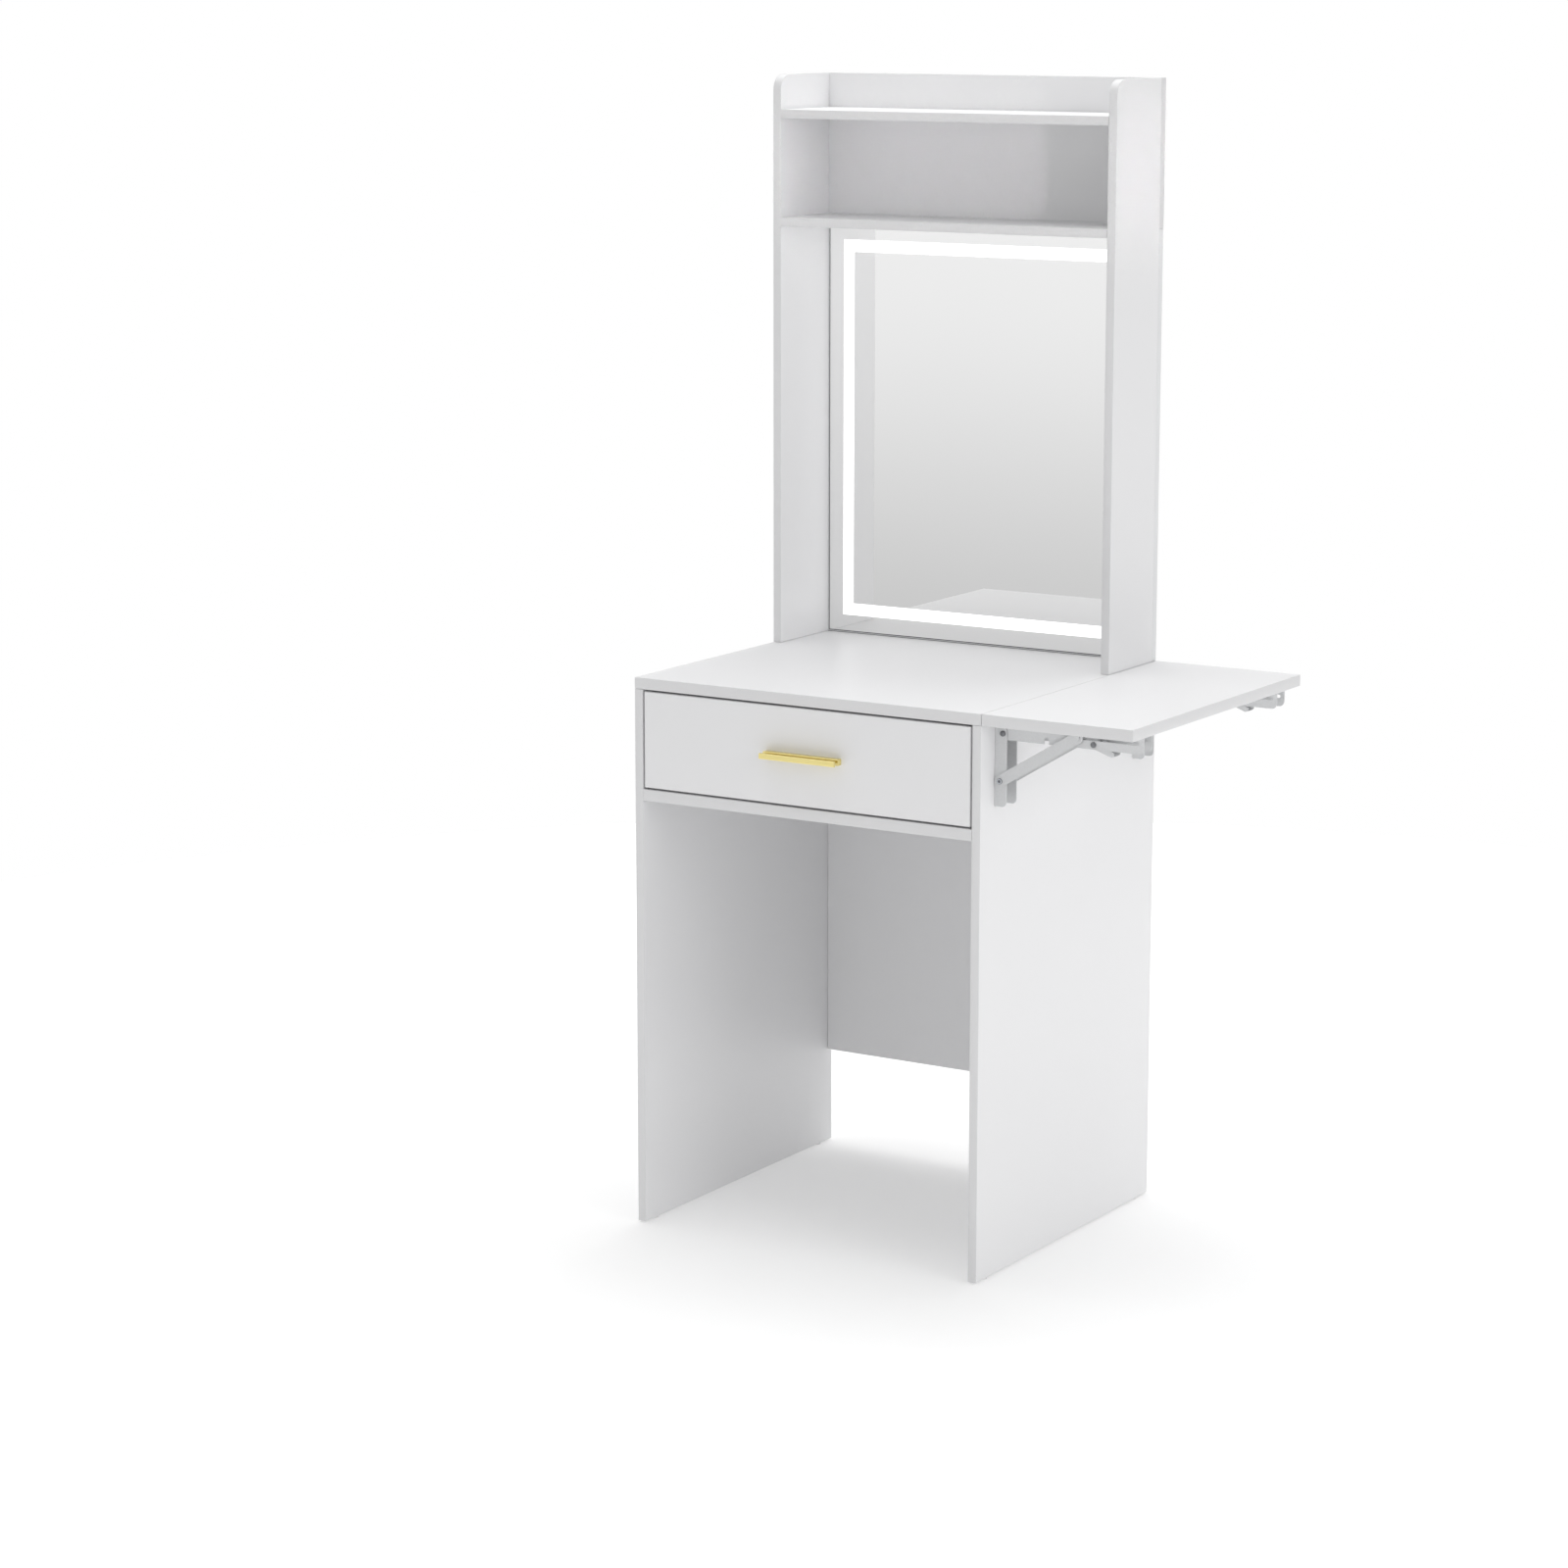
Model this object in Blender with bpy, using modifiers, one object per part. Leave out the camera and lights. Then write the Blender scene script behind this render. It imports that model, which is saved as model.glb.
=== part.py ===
"""Dressing table with a lit mirror hutch, one drawer and a fold-down side leaf. Metres, +Z up.

The desk stands with its front towards -Y and its leaf towards +X. The whole object's box is
centred on X = Y = 0 and stands on Z = 0. Change the sizes below and everything follows them.
"""

import math

import bmesh
import bpy
from mathutils import Matrix, Vector

# Overall sizes
WIDTH = 0.520
DEPTH = 0.480
DESK_HEIGHT = 0.743
HUTCH_HEIGHT = 0.772
HUTCH_DEPTH = 0.137

# Boards
SIDE_T = 0.012
BOARD_T = 0.015
BACK_T = 0.012
SHELF_T = 0.012
EDGE_R = 0.0008
SEAT = 0.0003  # the gap between pieces that touch

# Desk
BACK_CLEAR = 0.137  # floor to the back panel's lower edge
DRAWER_OPENING = 0.1335
GLIDE_H = 0.002
GLIDE_R = 0.005
GLIDE_PIN_R = 0.0012
GLIDE_PIN_LENGTH = 0.010
GLIDE_INSET = 0.030

# Drawer
REVEAL = 0.003  # the gap round the drawer front
DRAWER_DEPTH = DEPTH - 0.080
DRAWER_SIDE_T = 0.012
DRAWER_SIDE_H = 0.100
DRAWER_LIFT = 0.010  # the box's height above the shelf
DRAWER_BOTTOM_T = 0.004
DRAWER_BOTTOM_UP = 0.008
GROOVE = 0.005
GROOVE_CLEARANCE = 0.0004
PULL_LENGTH = 0.113
PULL_OUT = 0.0185
PULL_HOLES = 0.096
PULL_SCREW_R = 0.002
PULL_SCREW_DEPTH = 0.006

# Drawer slides
SLIDE_T = 0.0127
SLIDE_LENGTH = DRAWER_DEPTH - 0.050
SLIDE_START = 0.020  # behind the front edge of the side panel
SLIDE_H = 0.045
SLIDE_SHEET = 0.0012
SLIDE_PLAY = 0.0010  # between one member's flange and the next

# Hutch
TRAY_HEIGHT = 0.046
CUBBY_HEIGHT = 0.132
CORNER_R = 0.020
DOWEL_R = 0.003
DOWEL_IN_TOP = 0.011
DOWEL_IN_SIDE = 0.019
DOWEL_INSET = 0.030
DOWEL_CLEARANCE = 0.0002

# Mirror
GLASS_T = 0.004
GLASS_SIDE_GAP = 0.002
GLASS_FOOT_GAP = 0.0028
GLASS_TOP_GAP = 0.001
POCKET_GAP = 0.001
HOUSING_WALL = 0.0025
BAND_INSET = 0.0225
BAND_WIDTH = 0.0165
DIFFUSER_MARGIN = 0.008
LED_GROOVE_W = 0.010
LED_GROOVE_DEPTH = 0.0022
LED_W = 0.008
LED_T = 0.0014
TOUCH_BOARD = (0.030, 0.0016, 0.018)
SOCKET_W = 0.014
SOCKET_H = 0.008
SOCKET_FROM_SIDE = 0.080

# Side leaf and its two folding brackets
LEAF_LENGTH = 0.211
LEAF_GAP = 0.001
BRACKET_INSET = 0.050  # each bracket's middle from the front or rear edge
SHEET = 0.0015
HINGE_OUT = 0.0117  # hinge pin from the side panel's face
HINGE_DROP = 0.0141  # hinge pin below the leaf
WALL_LEG_DOWN = 0.094
WALL_LEG_UP = 0.008
WALL_LEG_OUT = 0.017
WALL_LEG_CORNER = 0.006
WALL_HALF = 0.014
ARM_HALF = 0.012
ARM_DROP = 0.0083  # arm's free edge below the hinge pin
ARM_SHORT = 0.004  # arm's end from the leaf's edge
ARM_CORNER = 0.007
LEVER_HALF = 0.0097
BRACE_HALF = 0.016
BRACE_W = 0.015
BRACE_ANGLE = math.radians(31.2)
BRACE_PIN_DOWN = 0.061
BRACE_PIN_IN = 0.003
SLOT_UP = 0.005  # slot's middle above the hinge pin
SLOT_END = 0.0028  # slot past the rivet at each end
SLOT_HALF = 0.0023
PIN_R = 0.0023
RIVET_R = 0.0020
RIVET_HEAD_R = 0.0037
RIVET_HEAD_T = 0.0012
PIN_CLEARANCE = 0.0003
LEVER_PIN_ALONG = 0.1268
LEVER_PIN_DOWN = 0.0024
LEVER_TIP = 0.026
LEVER_ANGLE = math.radians(24)
LEVER_BOSS_R = 0.0055
LEVER_TIP_R = 0.0035
LEVER_WEB_FROM = 0.014
SCREW_HOLE_R = 0.0024
WALL_SCREWS = (0.022, 0.046, 0.078)  # below the hinge pin
ARM_SCREWS = (0.035, 0.095, 0.165)  # out from the hinge pin

# Places that follow from the sizes
LEFT = -(WIDTH + LEAF_GAP + LEAF_LENGTH) / 2
RIGHT = LEFT + WIDTH
FRONT = -(DEPTH - PULL_OUT) / 2
REAR = FRONT + DEPTH
IN_LEFT = LEFT + SIDE_T
IN_RIGHT = RIGHT - SIDE_T
MIDDLE = (LEFT + RIGHT) / 2
TOP_UNDER = DESK_HEIGHT - BOARD_T
SHELF_TOP = TOP_UNDER - DRAWER_OPENING
SHELF_UNDER = SHELF_TOP - BOARD_T
TOTAL_HEIGHT = DESK_HEIGHT + HUTCH_HEIGHT
HUTCH_FRONT = REAR - HUTCH_DEPTH
HUTCH_BACK = REAR - BACK_T
TRAY_FLOOR = TOTAL_HEIGHT - TRAY_HEIGHT
CUBBY_TOP = TRAY_FLOOR - SHELF_T
CUBBY_FLOOR = CUBBY_TOP - CUBBY_HEIGHT
BAY_TOP = CUBBY_FLOOR - SHELF_T
HINGE_X = RIGHT + HINGE_OUT
HINGE_Z = TOP_UNDER - HINGE_DROP
BRACE_LENGTH = (BRACE_PIN_DOWN + SLOT_UP) / math.sin(BRACE_ANGLE)
ARM_END = LEAF_GAP + LEAF_LENGTH - ARM_SHORT - HINGE_OUT
XZ = Matrix.Rotation(math.pi / 2, 4, "X")  # an outline's x, y become world x, z
YZ = Matrix(((0, 0, 1, 0), (1, 0, 0, 0), (0, 1, 0, 0), (0, 0, 0, 1)))  # they become y, z


def clear_scene():
    for obj in list(bpy.data.objects):
        bpy.data.objects.remove(obj, do_unlink=True)


def collection(name):
    made = bpy.data.collections.new(name)
    bpy.context.scene.collection.children.link(made)
    return made


def material(name, rgb, roughness, metallic=0.0, glow=0.0):
    made = bpy.data.materials.new(name)
    made.use_nodes = True
    shader = made.node_tree.nodes["Principled BSDF"]
    shader.inputs["Base Color"].default_value = (*rgb, 1.0)
    shader.inputs["Roughness"].default_value = roughness
    shader.inputs["Metallic"].default_value = metallic
    shader.inputs["Emission Color"].default_value = (*rgb, 1.0)
    shader.inputs["Emission Strength"].default_value = glow
    made.diffuse_color = (*rgb, 1.0)
    return made


def add_object(name, mesh, finish, place, holder=None):
    """A named part at a world place, parented to the empty on its joint's axis if it moves."""
    made = bpy.data.objects.new(name, mesh)
    if finish is None:
        cutters.objects.link(made)
        made.hide_render = True
        made.display_type = "WIRE"
    else:
        parts.objects.link(made)
        made.data.materials.append(finish)
    made.location = place
    if holder:
        made.parent = holder
        made.location = Vector(place) - holder.location
    return made


def add_axis(name, place):
    made = bpy.data.objects.new(name, None)
    made.empty_display_size = 0.03
    parts.objects.link(made)
    made.location = place
    return made


def box_mesh(name, size):
    mesh = bpy.data.meshes.new(name)
    shape = bmesh.new()
    bmesh.ops.create_cube(shape, size=1.0)
    bmesh.ops.scale(shape, vec=size, verts=shape.verts)
    shape.to_mesh(mesh)
    shape.free()
    return mesh


def soften(obj, width=EDGE_R, segments=2):
    edge = obj.modifiers.new("soft_edges", "BEVEL")
    edge.width = width
    edge.segments = segments
    edge.limit_method = "ANGLE"
    return obj


def slab(name, low, high, finish, holder=None, edge=EDGE_R):
    """A board between two corners, with its edges eased."""
    low, high = Vector(low), Vector(high)
    made = add_object(name, box_mesh(name, high - low), finish, (low + high) / 2, holder)
    return soften(made, edge) if edge else made


def block_cutter(name, low, high):
    return slab(name, low, high, None, edge=0)


def rod_cutter(name, place, radius, length, axis):
    mesh = bpy.data.meshes.new(name)
    shape = bmesh.new()
    bmesh.ops.create_cone(
        shape, cap_ends=True, segments=24, radius1=radius, radius2=radius, depth=length
    )
    turn = {"X": Matrix.Rotation(math.pi / 2, 4, "Y"), "Y": XZ, "Z": Matrix()}[axis]
    bmesh.ops.transform(shape, matrix=turn, verts=shape.verts)
    shape.to_mesh(mesh)
    shape.free()
    return add_object(name, mesh, None, place)


def cut(obj, *tools):
    for tool in tools:
        modifier = obj.modifiers.new(tool.name, "BOOLEAN")
        modifier.operation = "DIFFERENCE"
        modifier.solver = "EXACT"
        modifier.object = tool
    return obj


def arc(x, y, radius, start, end, steps=8):
    """Points on an arc about (x, y), with angles in degrees."""
    angles = [math.radians(start + (end - start) * i / steps) for i in range(steps + 1)]
    return [(x + radius * math.cos(a), y + radius * math.sin(a)) for a in angles]


def ring(x, y, radius, steps=20):
    return arc(x, y, radius, 0, 360, steps)[:-1]


def rectangle(half_x, half_y):
    return [(-half_x, -half_y), (half_x, -half_y), (half_x, half_y), (-half_x, half_y)]


def profile_mesh(name, outlines, thickness, plane):
    """A flat outline, with its holes, made thick and turned into a mesh."""
    curve = bpy.data.curves.new(name, "CURVE")
    curve.dimensions = "2D"
    curve.fill_mode = "BOTH"
    curve.extrude = thickness / 2
    for outline in outlines:
        spline = curve.splines.new("POLY")
        spline.points.add(len(outline) - 1)
        spline.use_cyclic_u = True
        for point, (x, y) in zip(spline.points, outline):
            point.co = (x, y, 0, 1)
    flat = bpy.data.objects.new(name, curve)
    bpy.context.scene.collection.objects.link(flat)
    graph = bpy.context.evaluated_depsgraph_get()
    mesh = bpy.data.meshes.new_from_object(flat.evaluated_get(graph))
    bpy.data.objects.remove(flat)
    shape = bmesh.new()
    shape.from_mesh(mesh)
    bmesh.ops.remove_doubles(shape, verts=shape.verts, dist=1e-6)
    bmesh.ops.transform(shape, matrix=plane, verts=shape.verts)
    bmesh.ops.recalc_face_normals(shape, faces=shape.faces)
    shape.to_mesh(mesh)
    shape.free()
    return mesh


def plate(name, outlines, thickness, plane, finish, place, holder=None):
    return add_object(name, profile_mesh(name, outlines, thickness, plane), finish, place, holder)


def turned(name, profile, finish, place, holder=None, axis="Z", flip=False):
    """A turned piece: (radius, height) pairs from its top on the axis to its foot on the axis."""
    mesh = bpy.data.meshes.new(name)
    points = [(radius, 0, height) for radius, height in profile]
    mesh.from_pydata(points, [(i, i + 1) for i in range(len(points) - 1)], [])
    made = add_object(name, mesh, finish, place, holder)
    spin = made.modifiers.new("turn", "SCREW")
    spin.steps = 20
    spin.render_steps = 20
    spin.use_merge_vertices = True
    spin.merge_threshold = 1e-5
    spin.use_smooth_shade = True
    if axis == "Y":
        made.rotation_euler = (-math.pi / 2 if flip else math.pi / 2, 0, 0)
    return made


def rivet_profile(shank_r, head_r, half_grip):
    """A pin with a head at each end, whose heads stand SEAT clear of what they hold."""
    under = half_grip + SEAT
    top = under + RIVET_HEAD_T
    return [
        (0, top),
        (head_r, top),
        (head_r, under),
        (shank_r, under),
        (shank_r, -under),
        (head_r, -under),
        (head_r, -top),
        (0, -top),
    ]


def make_desk():
    board = finishes["white_board"]
    back_face = REAR - BACK_T
    foot = GLIDE_H + SEAT
    for side, low, high in (("left", LEFT, IN_LEFT), ("right", IN_RIGHT, RIGHT)):
        panel = slab(
            f"desk_{side}_side_panel",
            (low, FRONT, foot),
            (high, REAR, TOP_UNDER - SEAT),
            board,
        )
        for end, y in (("front", FRONT + GLIDE_INSET), ("rear", REAR - GLIDE_INSET)):
            x = (low + high) / 2
            glide = [
                (0, foot + GLIDE_PIN_LENGTH),
                (GLIDE_PIN_R, foot + GLIDE_PIN_LENGTH),
                (GLIDE_PIN_R, GLIDE_H),
                (GLIDE_R, GLIDE_H),
                (GLIDE_R, 0),
                (0, 0),
            ]
            turned(f"floor_glide_{side}_{end}", glide, finishes["plastic_white"], (x, y, 0))
            hole = foot + GLIDE_PIN_LENGTH + SEAT
            name = f"glide_hole_{side}_{end}"
            cut(panel, rod_cutter(name, (x, y, 0), GLIDE_PIN_R + SEAT, 2 * hole, "Z"))

    top = slab("desk_top", (LEFT, FRONT, TOP_UNDER), (RIGHT, REAR, DESK_HEIGHT), board)
    for side in ("left", "right"):
        cut(top, dowel_cutter(side, "front"), dowel_cutter(side, "rear"))
    slab(
        "drawer_shelf",
        (IN_LEFT + SEAT, FRONT, SHELF_UNDER),
        (IN_RIGHT - SEAT, back_face - SEAT, SHELF_TOP),
        board,
    )
    slab(
        "desk_back_panel",
        (IN_LEFT + SEAT, back_face, BACK_CLEAR),
        (IN_RIGHT - SEAT, REAR, TOP_UNDER - SEAT),
        board,
    )


def dowel_place(side, end):
    x = (LEFT + IN_LEFT) / 2 if side == "left" else (IN_RIGHT + RIGHT) / 2
    y = HUTCH_FRONT + DOWEL_INSET if end == "front" else HUTCH_BACK - DOWEL_INSET
    return x, y


def dowel_cutter(side, end):
    """The hole for one dowel, shared by the desk top and the hutch side above it."""
    name = f"dowel_hole_{side}_{end}"
    if name in bpy.data.objects:
        return bpy.data.objects[name]
    x, y = dowel_place(side, end)
    low = DESK_HEIGHT - DOWEL_IN_TOP - SEAT
    high = DESK_HEIGHT + DOWEL_IN_SIDE + SEAT
    return rod_cutter(name, (x, y, (low + high) / 2), DOWEL_R + DOWEL_CLEARANCE, high - low, "Z")


def make_hutch():
    board = finishes["white_board"]
    foot = DESK_HEIGHT + SEAT
    side_rear = HUTCH_BACK - SEAT
    corner = arc(HUTCH_FRONT + CORNER_R, TOTAL_HEIGHT - CORNER_R, CORNER_R, 90, 180)
    outline = [(side_rear, foot), (side_rear, TOTAL_HEIGHT), *corner, (HUTCH_FRONT, foot)]
    for side, x in (("left", (LEFT + IN_LEFT) / 2), ("right", (IN_RIGHT + RIGHT) / 2)):
        panel = plate(f"hutch_{side}_side_panel", [outline], SIDE_T, YZ, board, (x, 0, 0))
        soften(panel)
        for end in ("front", "rear"):
            cut(panel, dowel_cutter(side, end))
            _, y = dowel_place(side, end)
            low, high = DESK_HEIGHT - DOWEL_IN_TOP, DESK_HEIGHT + DOWEL_IN_SIDE
            turned(
                f"hutch_dowel_{side}_{end}",
                [(0, high), (DOWEL_R, high), (DOWEL_R, low), (0, low)],
                finishes["beech"],
                (x, y, 0),
            )
    for name, floor in (("tray_shelf", TRAY_FLOOR), ("cubby_shelf", CUBBY_FLOOR)):
        slab(
            f"hutch_{name}",
            (IN_LEFT + SEAT, HUTCH_FRONT, floor - SHELF_T),
            (IN_RIGHT - SEAT, side_rear, floor),
            board,
        )
    slab(
        "hutch_back_board",
        (LEFT, HUTCH_BACK, housing_top() + SEAT),
        (RIGHT, REAR, TOTAL_HEIGHT),
        board,
    )


def housing_top():
    """The joint between back board and mirror housing, hidden behind the cubby shelf's edge."""
    return CUBBY_FLOOR - SHELF_T / 2


def make_mirror():
    low_x, high_x = IN_LEFT + GLASS_SIDE_GAP, IN_RIGHT - GLASS_SIDE_GAP
    low_z, high_z = DESK_HEIGHT + GLASS_FOOT_GAP, BAY_TOP - GLASS_TOP_GAP
    centre_x, centre_z = (low_x + high_x) / 2, (low_z + high_z) / 2
    half_x, half_z = (high_x - low_x) / 2, (high_z - low_z) / 2
    glass_front = HUTCH_BACK + SEAT
    behind_glass = glass_front + GLASS_T + SEAT
    pocket_floor = REAR - HOUSING_WALL

    housing = slab(
        "mirror_housing",
        (LEFT, HUTCH_BACK, DESK_HEIGHT + SEAT),
        (RIGHT, REAR, housing_top()),
        finishes["plastic_white"],
    )
    pocket = block_cutter(
        "mirror_pocket",
        (low_x - POCKET_GAP, HUTCH_BACK - 0.01, low_z - POCKET_GAP),
        (high_x + POCKET_GAP, pocket_floor, high_z + POCKET_GAP),
    )
    slab(
        "mirror_glass",
        (low_x, glass_front, low_z),
        (high_x, glass_front + GLASS_T, high_z),
        finishes["mirror"],
        edge=0.0005,
    )

    outer = BAND_INSET - DIFFUSER_MARGIN
    inner = BAND_INSET + BAND_WIDTH + DIFFUSER_MARGIN
    middle = BAND_INSET + BAND_WIDTH / 2
    diffuser_rear = pocket_floor - SEAT

    def frame(name, inset_out, inset_in, front, rear, finish):
        outlines = [rectangle(half_x - i, half_z - i) for i in (inset_out, inset_in)]
        place = (centre_x, (front + rear) / 2, centre_z)
        return plate(name, outlines, rear - front, XZ, finish, place)

    opal = finishes["diffuser"]
    diffuser = frame("light_diffuser", outer, inner, behind_glass, diffuser_rear, opal)
    groove_front = diffuser_rear - LED_GROOVE_DEPTH
    groove_rear = diffuser_rear + 0.005
    groove_out, groove_in = middle - LED_GROOVE_W / 2, middle + LED_GROOVE_W / 2
    cut(diffuser, frame("led_groove", groove_out, groove_in, groove_front, groove_rear, None))
    led_front = groove_front + SEAT
    led_out, led_in = middle - LED_W / 2, middle + LED_W / 2
    frame("led_strip", led_out, led_in, led_front, led_front + LED_T, finishes["led"])

    board_x, board_t, board_z = TOUCH_BOARD
    board_foot = low_z + inner + board_z / 2
    slab(
        "touch_switch_board",
        (MIDDLE - board_x / 2, behind_glass, board_foot),
        (MIDDLE + board_x / 2, behind_glass + board_t, board_foot + board_z),
        finishes["circuit"],
        edge=0,
    )
    socket_x = IN_RIGHT - SOCKET_FROM_SIDE
    socket_foot = low_z + POCKET_GAP
    socket_low = Vector((socket_x - SOCKET_W / 2, behind_glass, socket_foot))
    socket_high = Vector((socket_x + SOCKET_W / 2, REAR - SEAT, socket_foot + SOCKET_H))
    slab("power_socket", socket_low, socket_high, finishes["socket"], edge=0.0004)
    clearance = Vector((SEAT, SEAT, SEAT))
    opening = block_cutter(
        "socket_opening", socket_low - clearance, socket_high + clearance + Vector((0, 0.01, 0))
    )
    cut(housing, pocket, opening)


def make_drawer():
    board = finishes["white_board"]
    carton = finishes["drawer_board"]
    out = add_axis("drawer_axis", (MIDDLE, FRONT, SHELF_TOP))
    front_low = (IN_LEFT + REVEAL, FRONT, SHELF_TOP + REVEAL)
    front_high = (IN_RIGHT - REVEAL, FRONT + BOARD_T, TOP_UNDER - REVEAL)
    front = slab("drawer_front", front_low, front_high, board, out)

    box_left, box_right = IN_LEFT + SLIDE_T, IN_RIGHT - SLIDE_T
    box_front = FRONT + BOARD_T + SEAT
    box_rear = box_front + DRAWER_DEPTH
    foot = SHELF_TOP + DRAWER_LIFT
    rim = foot + DRAWER_SIDE_H
    in_left, in_right = box_left + DRAWER_SIDE_T, box_right - DRAWER_SIDE_T
    bottom_low = foot + DRAWER_BOTTOM_UP
    bottom_high = bottom_low + DRAWER_BOTTOM_T
    low, high = (box_left, box_front, foot), (in_left, box_rear, rim)
    left = slab("drawer_left_side", low, high, carton, out)
    low, high = (in_right, box_front, foot), (box_right, box_rear, rim)
    right = slab("drawer_right_side", low, high, carton, out)
    slab(
        "drawer_back",
        (in_left + SEAT, box_rear - DRAWER_SIDE_T, bottom_high + SEAT),
        (in_right - SEAT, box_rear, rim),
        carton,
        out,
    )
    panel_low = Vector((in_left - GROOVE, box_front - GROOVE, bottom_low))
    panel_high = Vector((in_right + GROOVE, box_rear - SEAT, bottom_high))
    slab("drawer_bottom", panel_low, panel_high, carton, out, edge=0)
    play = Vector((GROOVE_CLEARANCE, GROOVE_CLEARANCE, GROOVE_CLEARANCE))
    groove_end = panel_high + play + Vector((0, 0.01, 0))
    groove = block_cutter("drawer_groove", panel_low - play, groove_end)
    cut(left, groove)
    cut(right, groove)
    cut(front, groove)

    pull_z = (front_low[2] + front_high[2]) / 2
    pull = make_pull(pull_z, out)
    for side, x in (("left", MIDDLE - PULL_HOLES / 2), ("right", MIDDLE + PULL_HOLES / 2)):
        head_y = box_front
        reach = head_y - (FRONT - PULL_SCREW_DEPTH)
        screw = [
            (0, 0.0022),
            (0.0030, 0.0022),
            (0.0040, 0.0012),
            (0.0040, 0),
            (PULL_SCREW_R, 0),
            (PULL_SCREW_R, -reach),
            (0, -reach),
        ]
        place = (x, head_y, pull_z)
        turned(f"pull_screw_{side}", screw, finishes["zinc"], place, out, axis="Y", flip=True)
        hole_end = head_y - reach - SEAT
        length = head_y + 0.005 - hole_end
        place = (x, hole_end + length / 2, pull_z)
        hole = rod_cutter(f"pull_screw_hole_{side}", place, PULL_SCREW_R + SEAT, length, "Y")
        cut(front, hole)
        cut(pull, hole)


def make_pull(z, holder):
    """An extruded bar: a block against the drawer, a thin web, and a lip to pull on."""
    block_out = 0.0085
    lip_in = PULL_OUT - 0.0035
    section = [
        (-SEAT, -0.0035),
        (-SEAT, 0.0045),
        *arc(-block_out + 0.001, 0.0035, 0.001, 90, 180, 3),
        (-block_out, 0.0005),
        (-lip_in, 0.0005),
        (-lip_in, 0.0035),
        *arc(-PULL_OUT + 0.001, 0.0025, 0.001, 90, 180, 3),
        *arc(-PULL_OUT + 0.001, -0.0028, 0.001, 180, 270, 3),
        (-lip_in, -0.0038),
        (-lip_in, -0.0018),
        (-block_out, -0.0018),
        (-block_out, -0.0035),
    ]
    place = (MIDDLE, FRONT, z)
    return plate("drawer_pull", [section], PULL_LENGTH, YZ, finishes["gold"], place, holder)


def slide_section(web, flange, half_height, open_to):
    """A C section that stands on its web at x = 0 and opens towards open_to (1 or -1)."""
    inner = half_height - SLIDE_SHEET
    points = [
        (0, -half_height),
        (flange, -half_height),
        (flange, -inner),
        (web, -inner),
        (web, inner),
        (flange, inner),
        (flange, half_height),
        (0, half_height),
    ]
    return points if open_to > 0 else [(-x, z) for x, z in reversed(points)]


def make_slides():
    """Three-member slides: one on the panel, one between, one on the drawer's side."""
    steel = finishes["zinc"]
    y = FRONT + SLIDE_START + SLIDE_LENGTH / 2
    z = SHELF_TOP + DRAWER_LIFT + DRAWER_SIDE_H / 2
    outer_half = SLIDE_H / 2
    middle_half = outer_half - SLIDE_SHEET - SLIDE_PLAY
    inner_half = middle_half - SLIDE_SHEET - SLIDE_PLAY
    reach = SLIDE_T - 2 * SEAT - 2 * SLIDE_SHEET - SLIDE_PLAY
    for side, face, out in (("left", IN_LEFT, 1), ("right", IN_RIGHT, -1)):
        fixed_x = face + out * SEAT
        middle_x = fixed_x + out * (SLIDE_SHEET + SLIDE_PLAY)
        drawer_x = face + out * (SLIDE_T - SEAT)
        middle_axis = add_axis(f"slide_middle_axis_{side}", (middle_x, y, z))
        drawer_axis = bpy.data.objects["drawer_axis"]
        members = (
            ("cabinet", fixed_x, reach, outer_half, out, None),
            ("middle", middle_x, reach - SLIDE_PLAY, middle_half, out, middle_axis),
            ("drawer", drawer_x, reach - 2 * SLIDE_PLAY, inner_half, -out, drawer_axis),
        )
        for member, x, flange, half, opens, holder in members:
            section = slide_section(SLIDE_SHEET, flange, half, opens)
            name = f"slide_{member}_member_{side}"
            plate(name, [section], SLIDE_LENGTH, XZ, steel, (x, y, z), holder)


def make_wall_channel(end, y):
    low, high = SEAT - HINGE_OUT, WALL_LEG_OUT - HINGE_OUT
    corner = WALL_LEG_CORNER
    outline = [
        (low, -WALL_LEG_DOWN),
        *arc(high - corner, corner - WALL_LEG_DOWN, corner, 270, 360, 6),
        *arc(high - corner, WALL_LEG_UP - corner, corner, 0, 90, 6),
        (low, WALL_LEG_UP),
    ]
    place = (HINGE_X, y, HINGE_Z)
    finish = finishes["white_steel"]
    channel = plate(f"bracket_wall_channel_{end}", [outline], 2 * WALL_HALF, XZ, finish, place)
    inner = WALL_HALF - SHEET
    hollow = block_cutter(
        f"wall_channel_hollow_{end}",
        (HINGE_X + low + SHEET, y - inner, HINGE_Z - WALL_LEG_DOWN - 0.01),
        (HINGE_X + high + 0.01, y + inner, HINGE_Z + WALL_LEG_UP + 0.01),
    )
    cut(channel, hollow, pin_cutter("hinge", end, y), pin_cutter("brace", end, y))
    for number, down in enumerate(WALL_SCREWS, 1):
        name = f"wall_screw_hole_{end}_{number}"
        cut(channel, rod_cutter(name, (RIGHT, y, HINGE_Z - down), SCREW_HOLE_R, 0.012, "X"))


def pin_place(kind):
    """Each pin's x and z, with the leaf up."""
    return {
        "hinge": (HINGE_X, HINGE_Z),
        "brace": (HINGE_X - BRACE_PIN_IN, HINGE_Z - BRACE_PIN_DOWN),
        "lever": (HINGE_X + LEVER_PIN_ALONG, HINGE_Z - LEVER_PIN_DOWN),
    }[kind]


def pin_cutter(kind, end, y):
    name = f"{kind}_pin_hole_{end}"
    if name in bpy.data.objects:
        return bpy.data.objects[name]
    x, z = pin_place(kind)
    return rod_cutter(name, (x, y, z), PIN_R + PIN_CLEARANCE, 3 * WALL_HALF, "Y")


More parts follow.
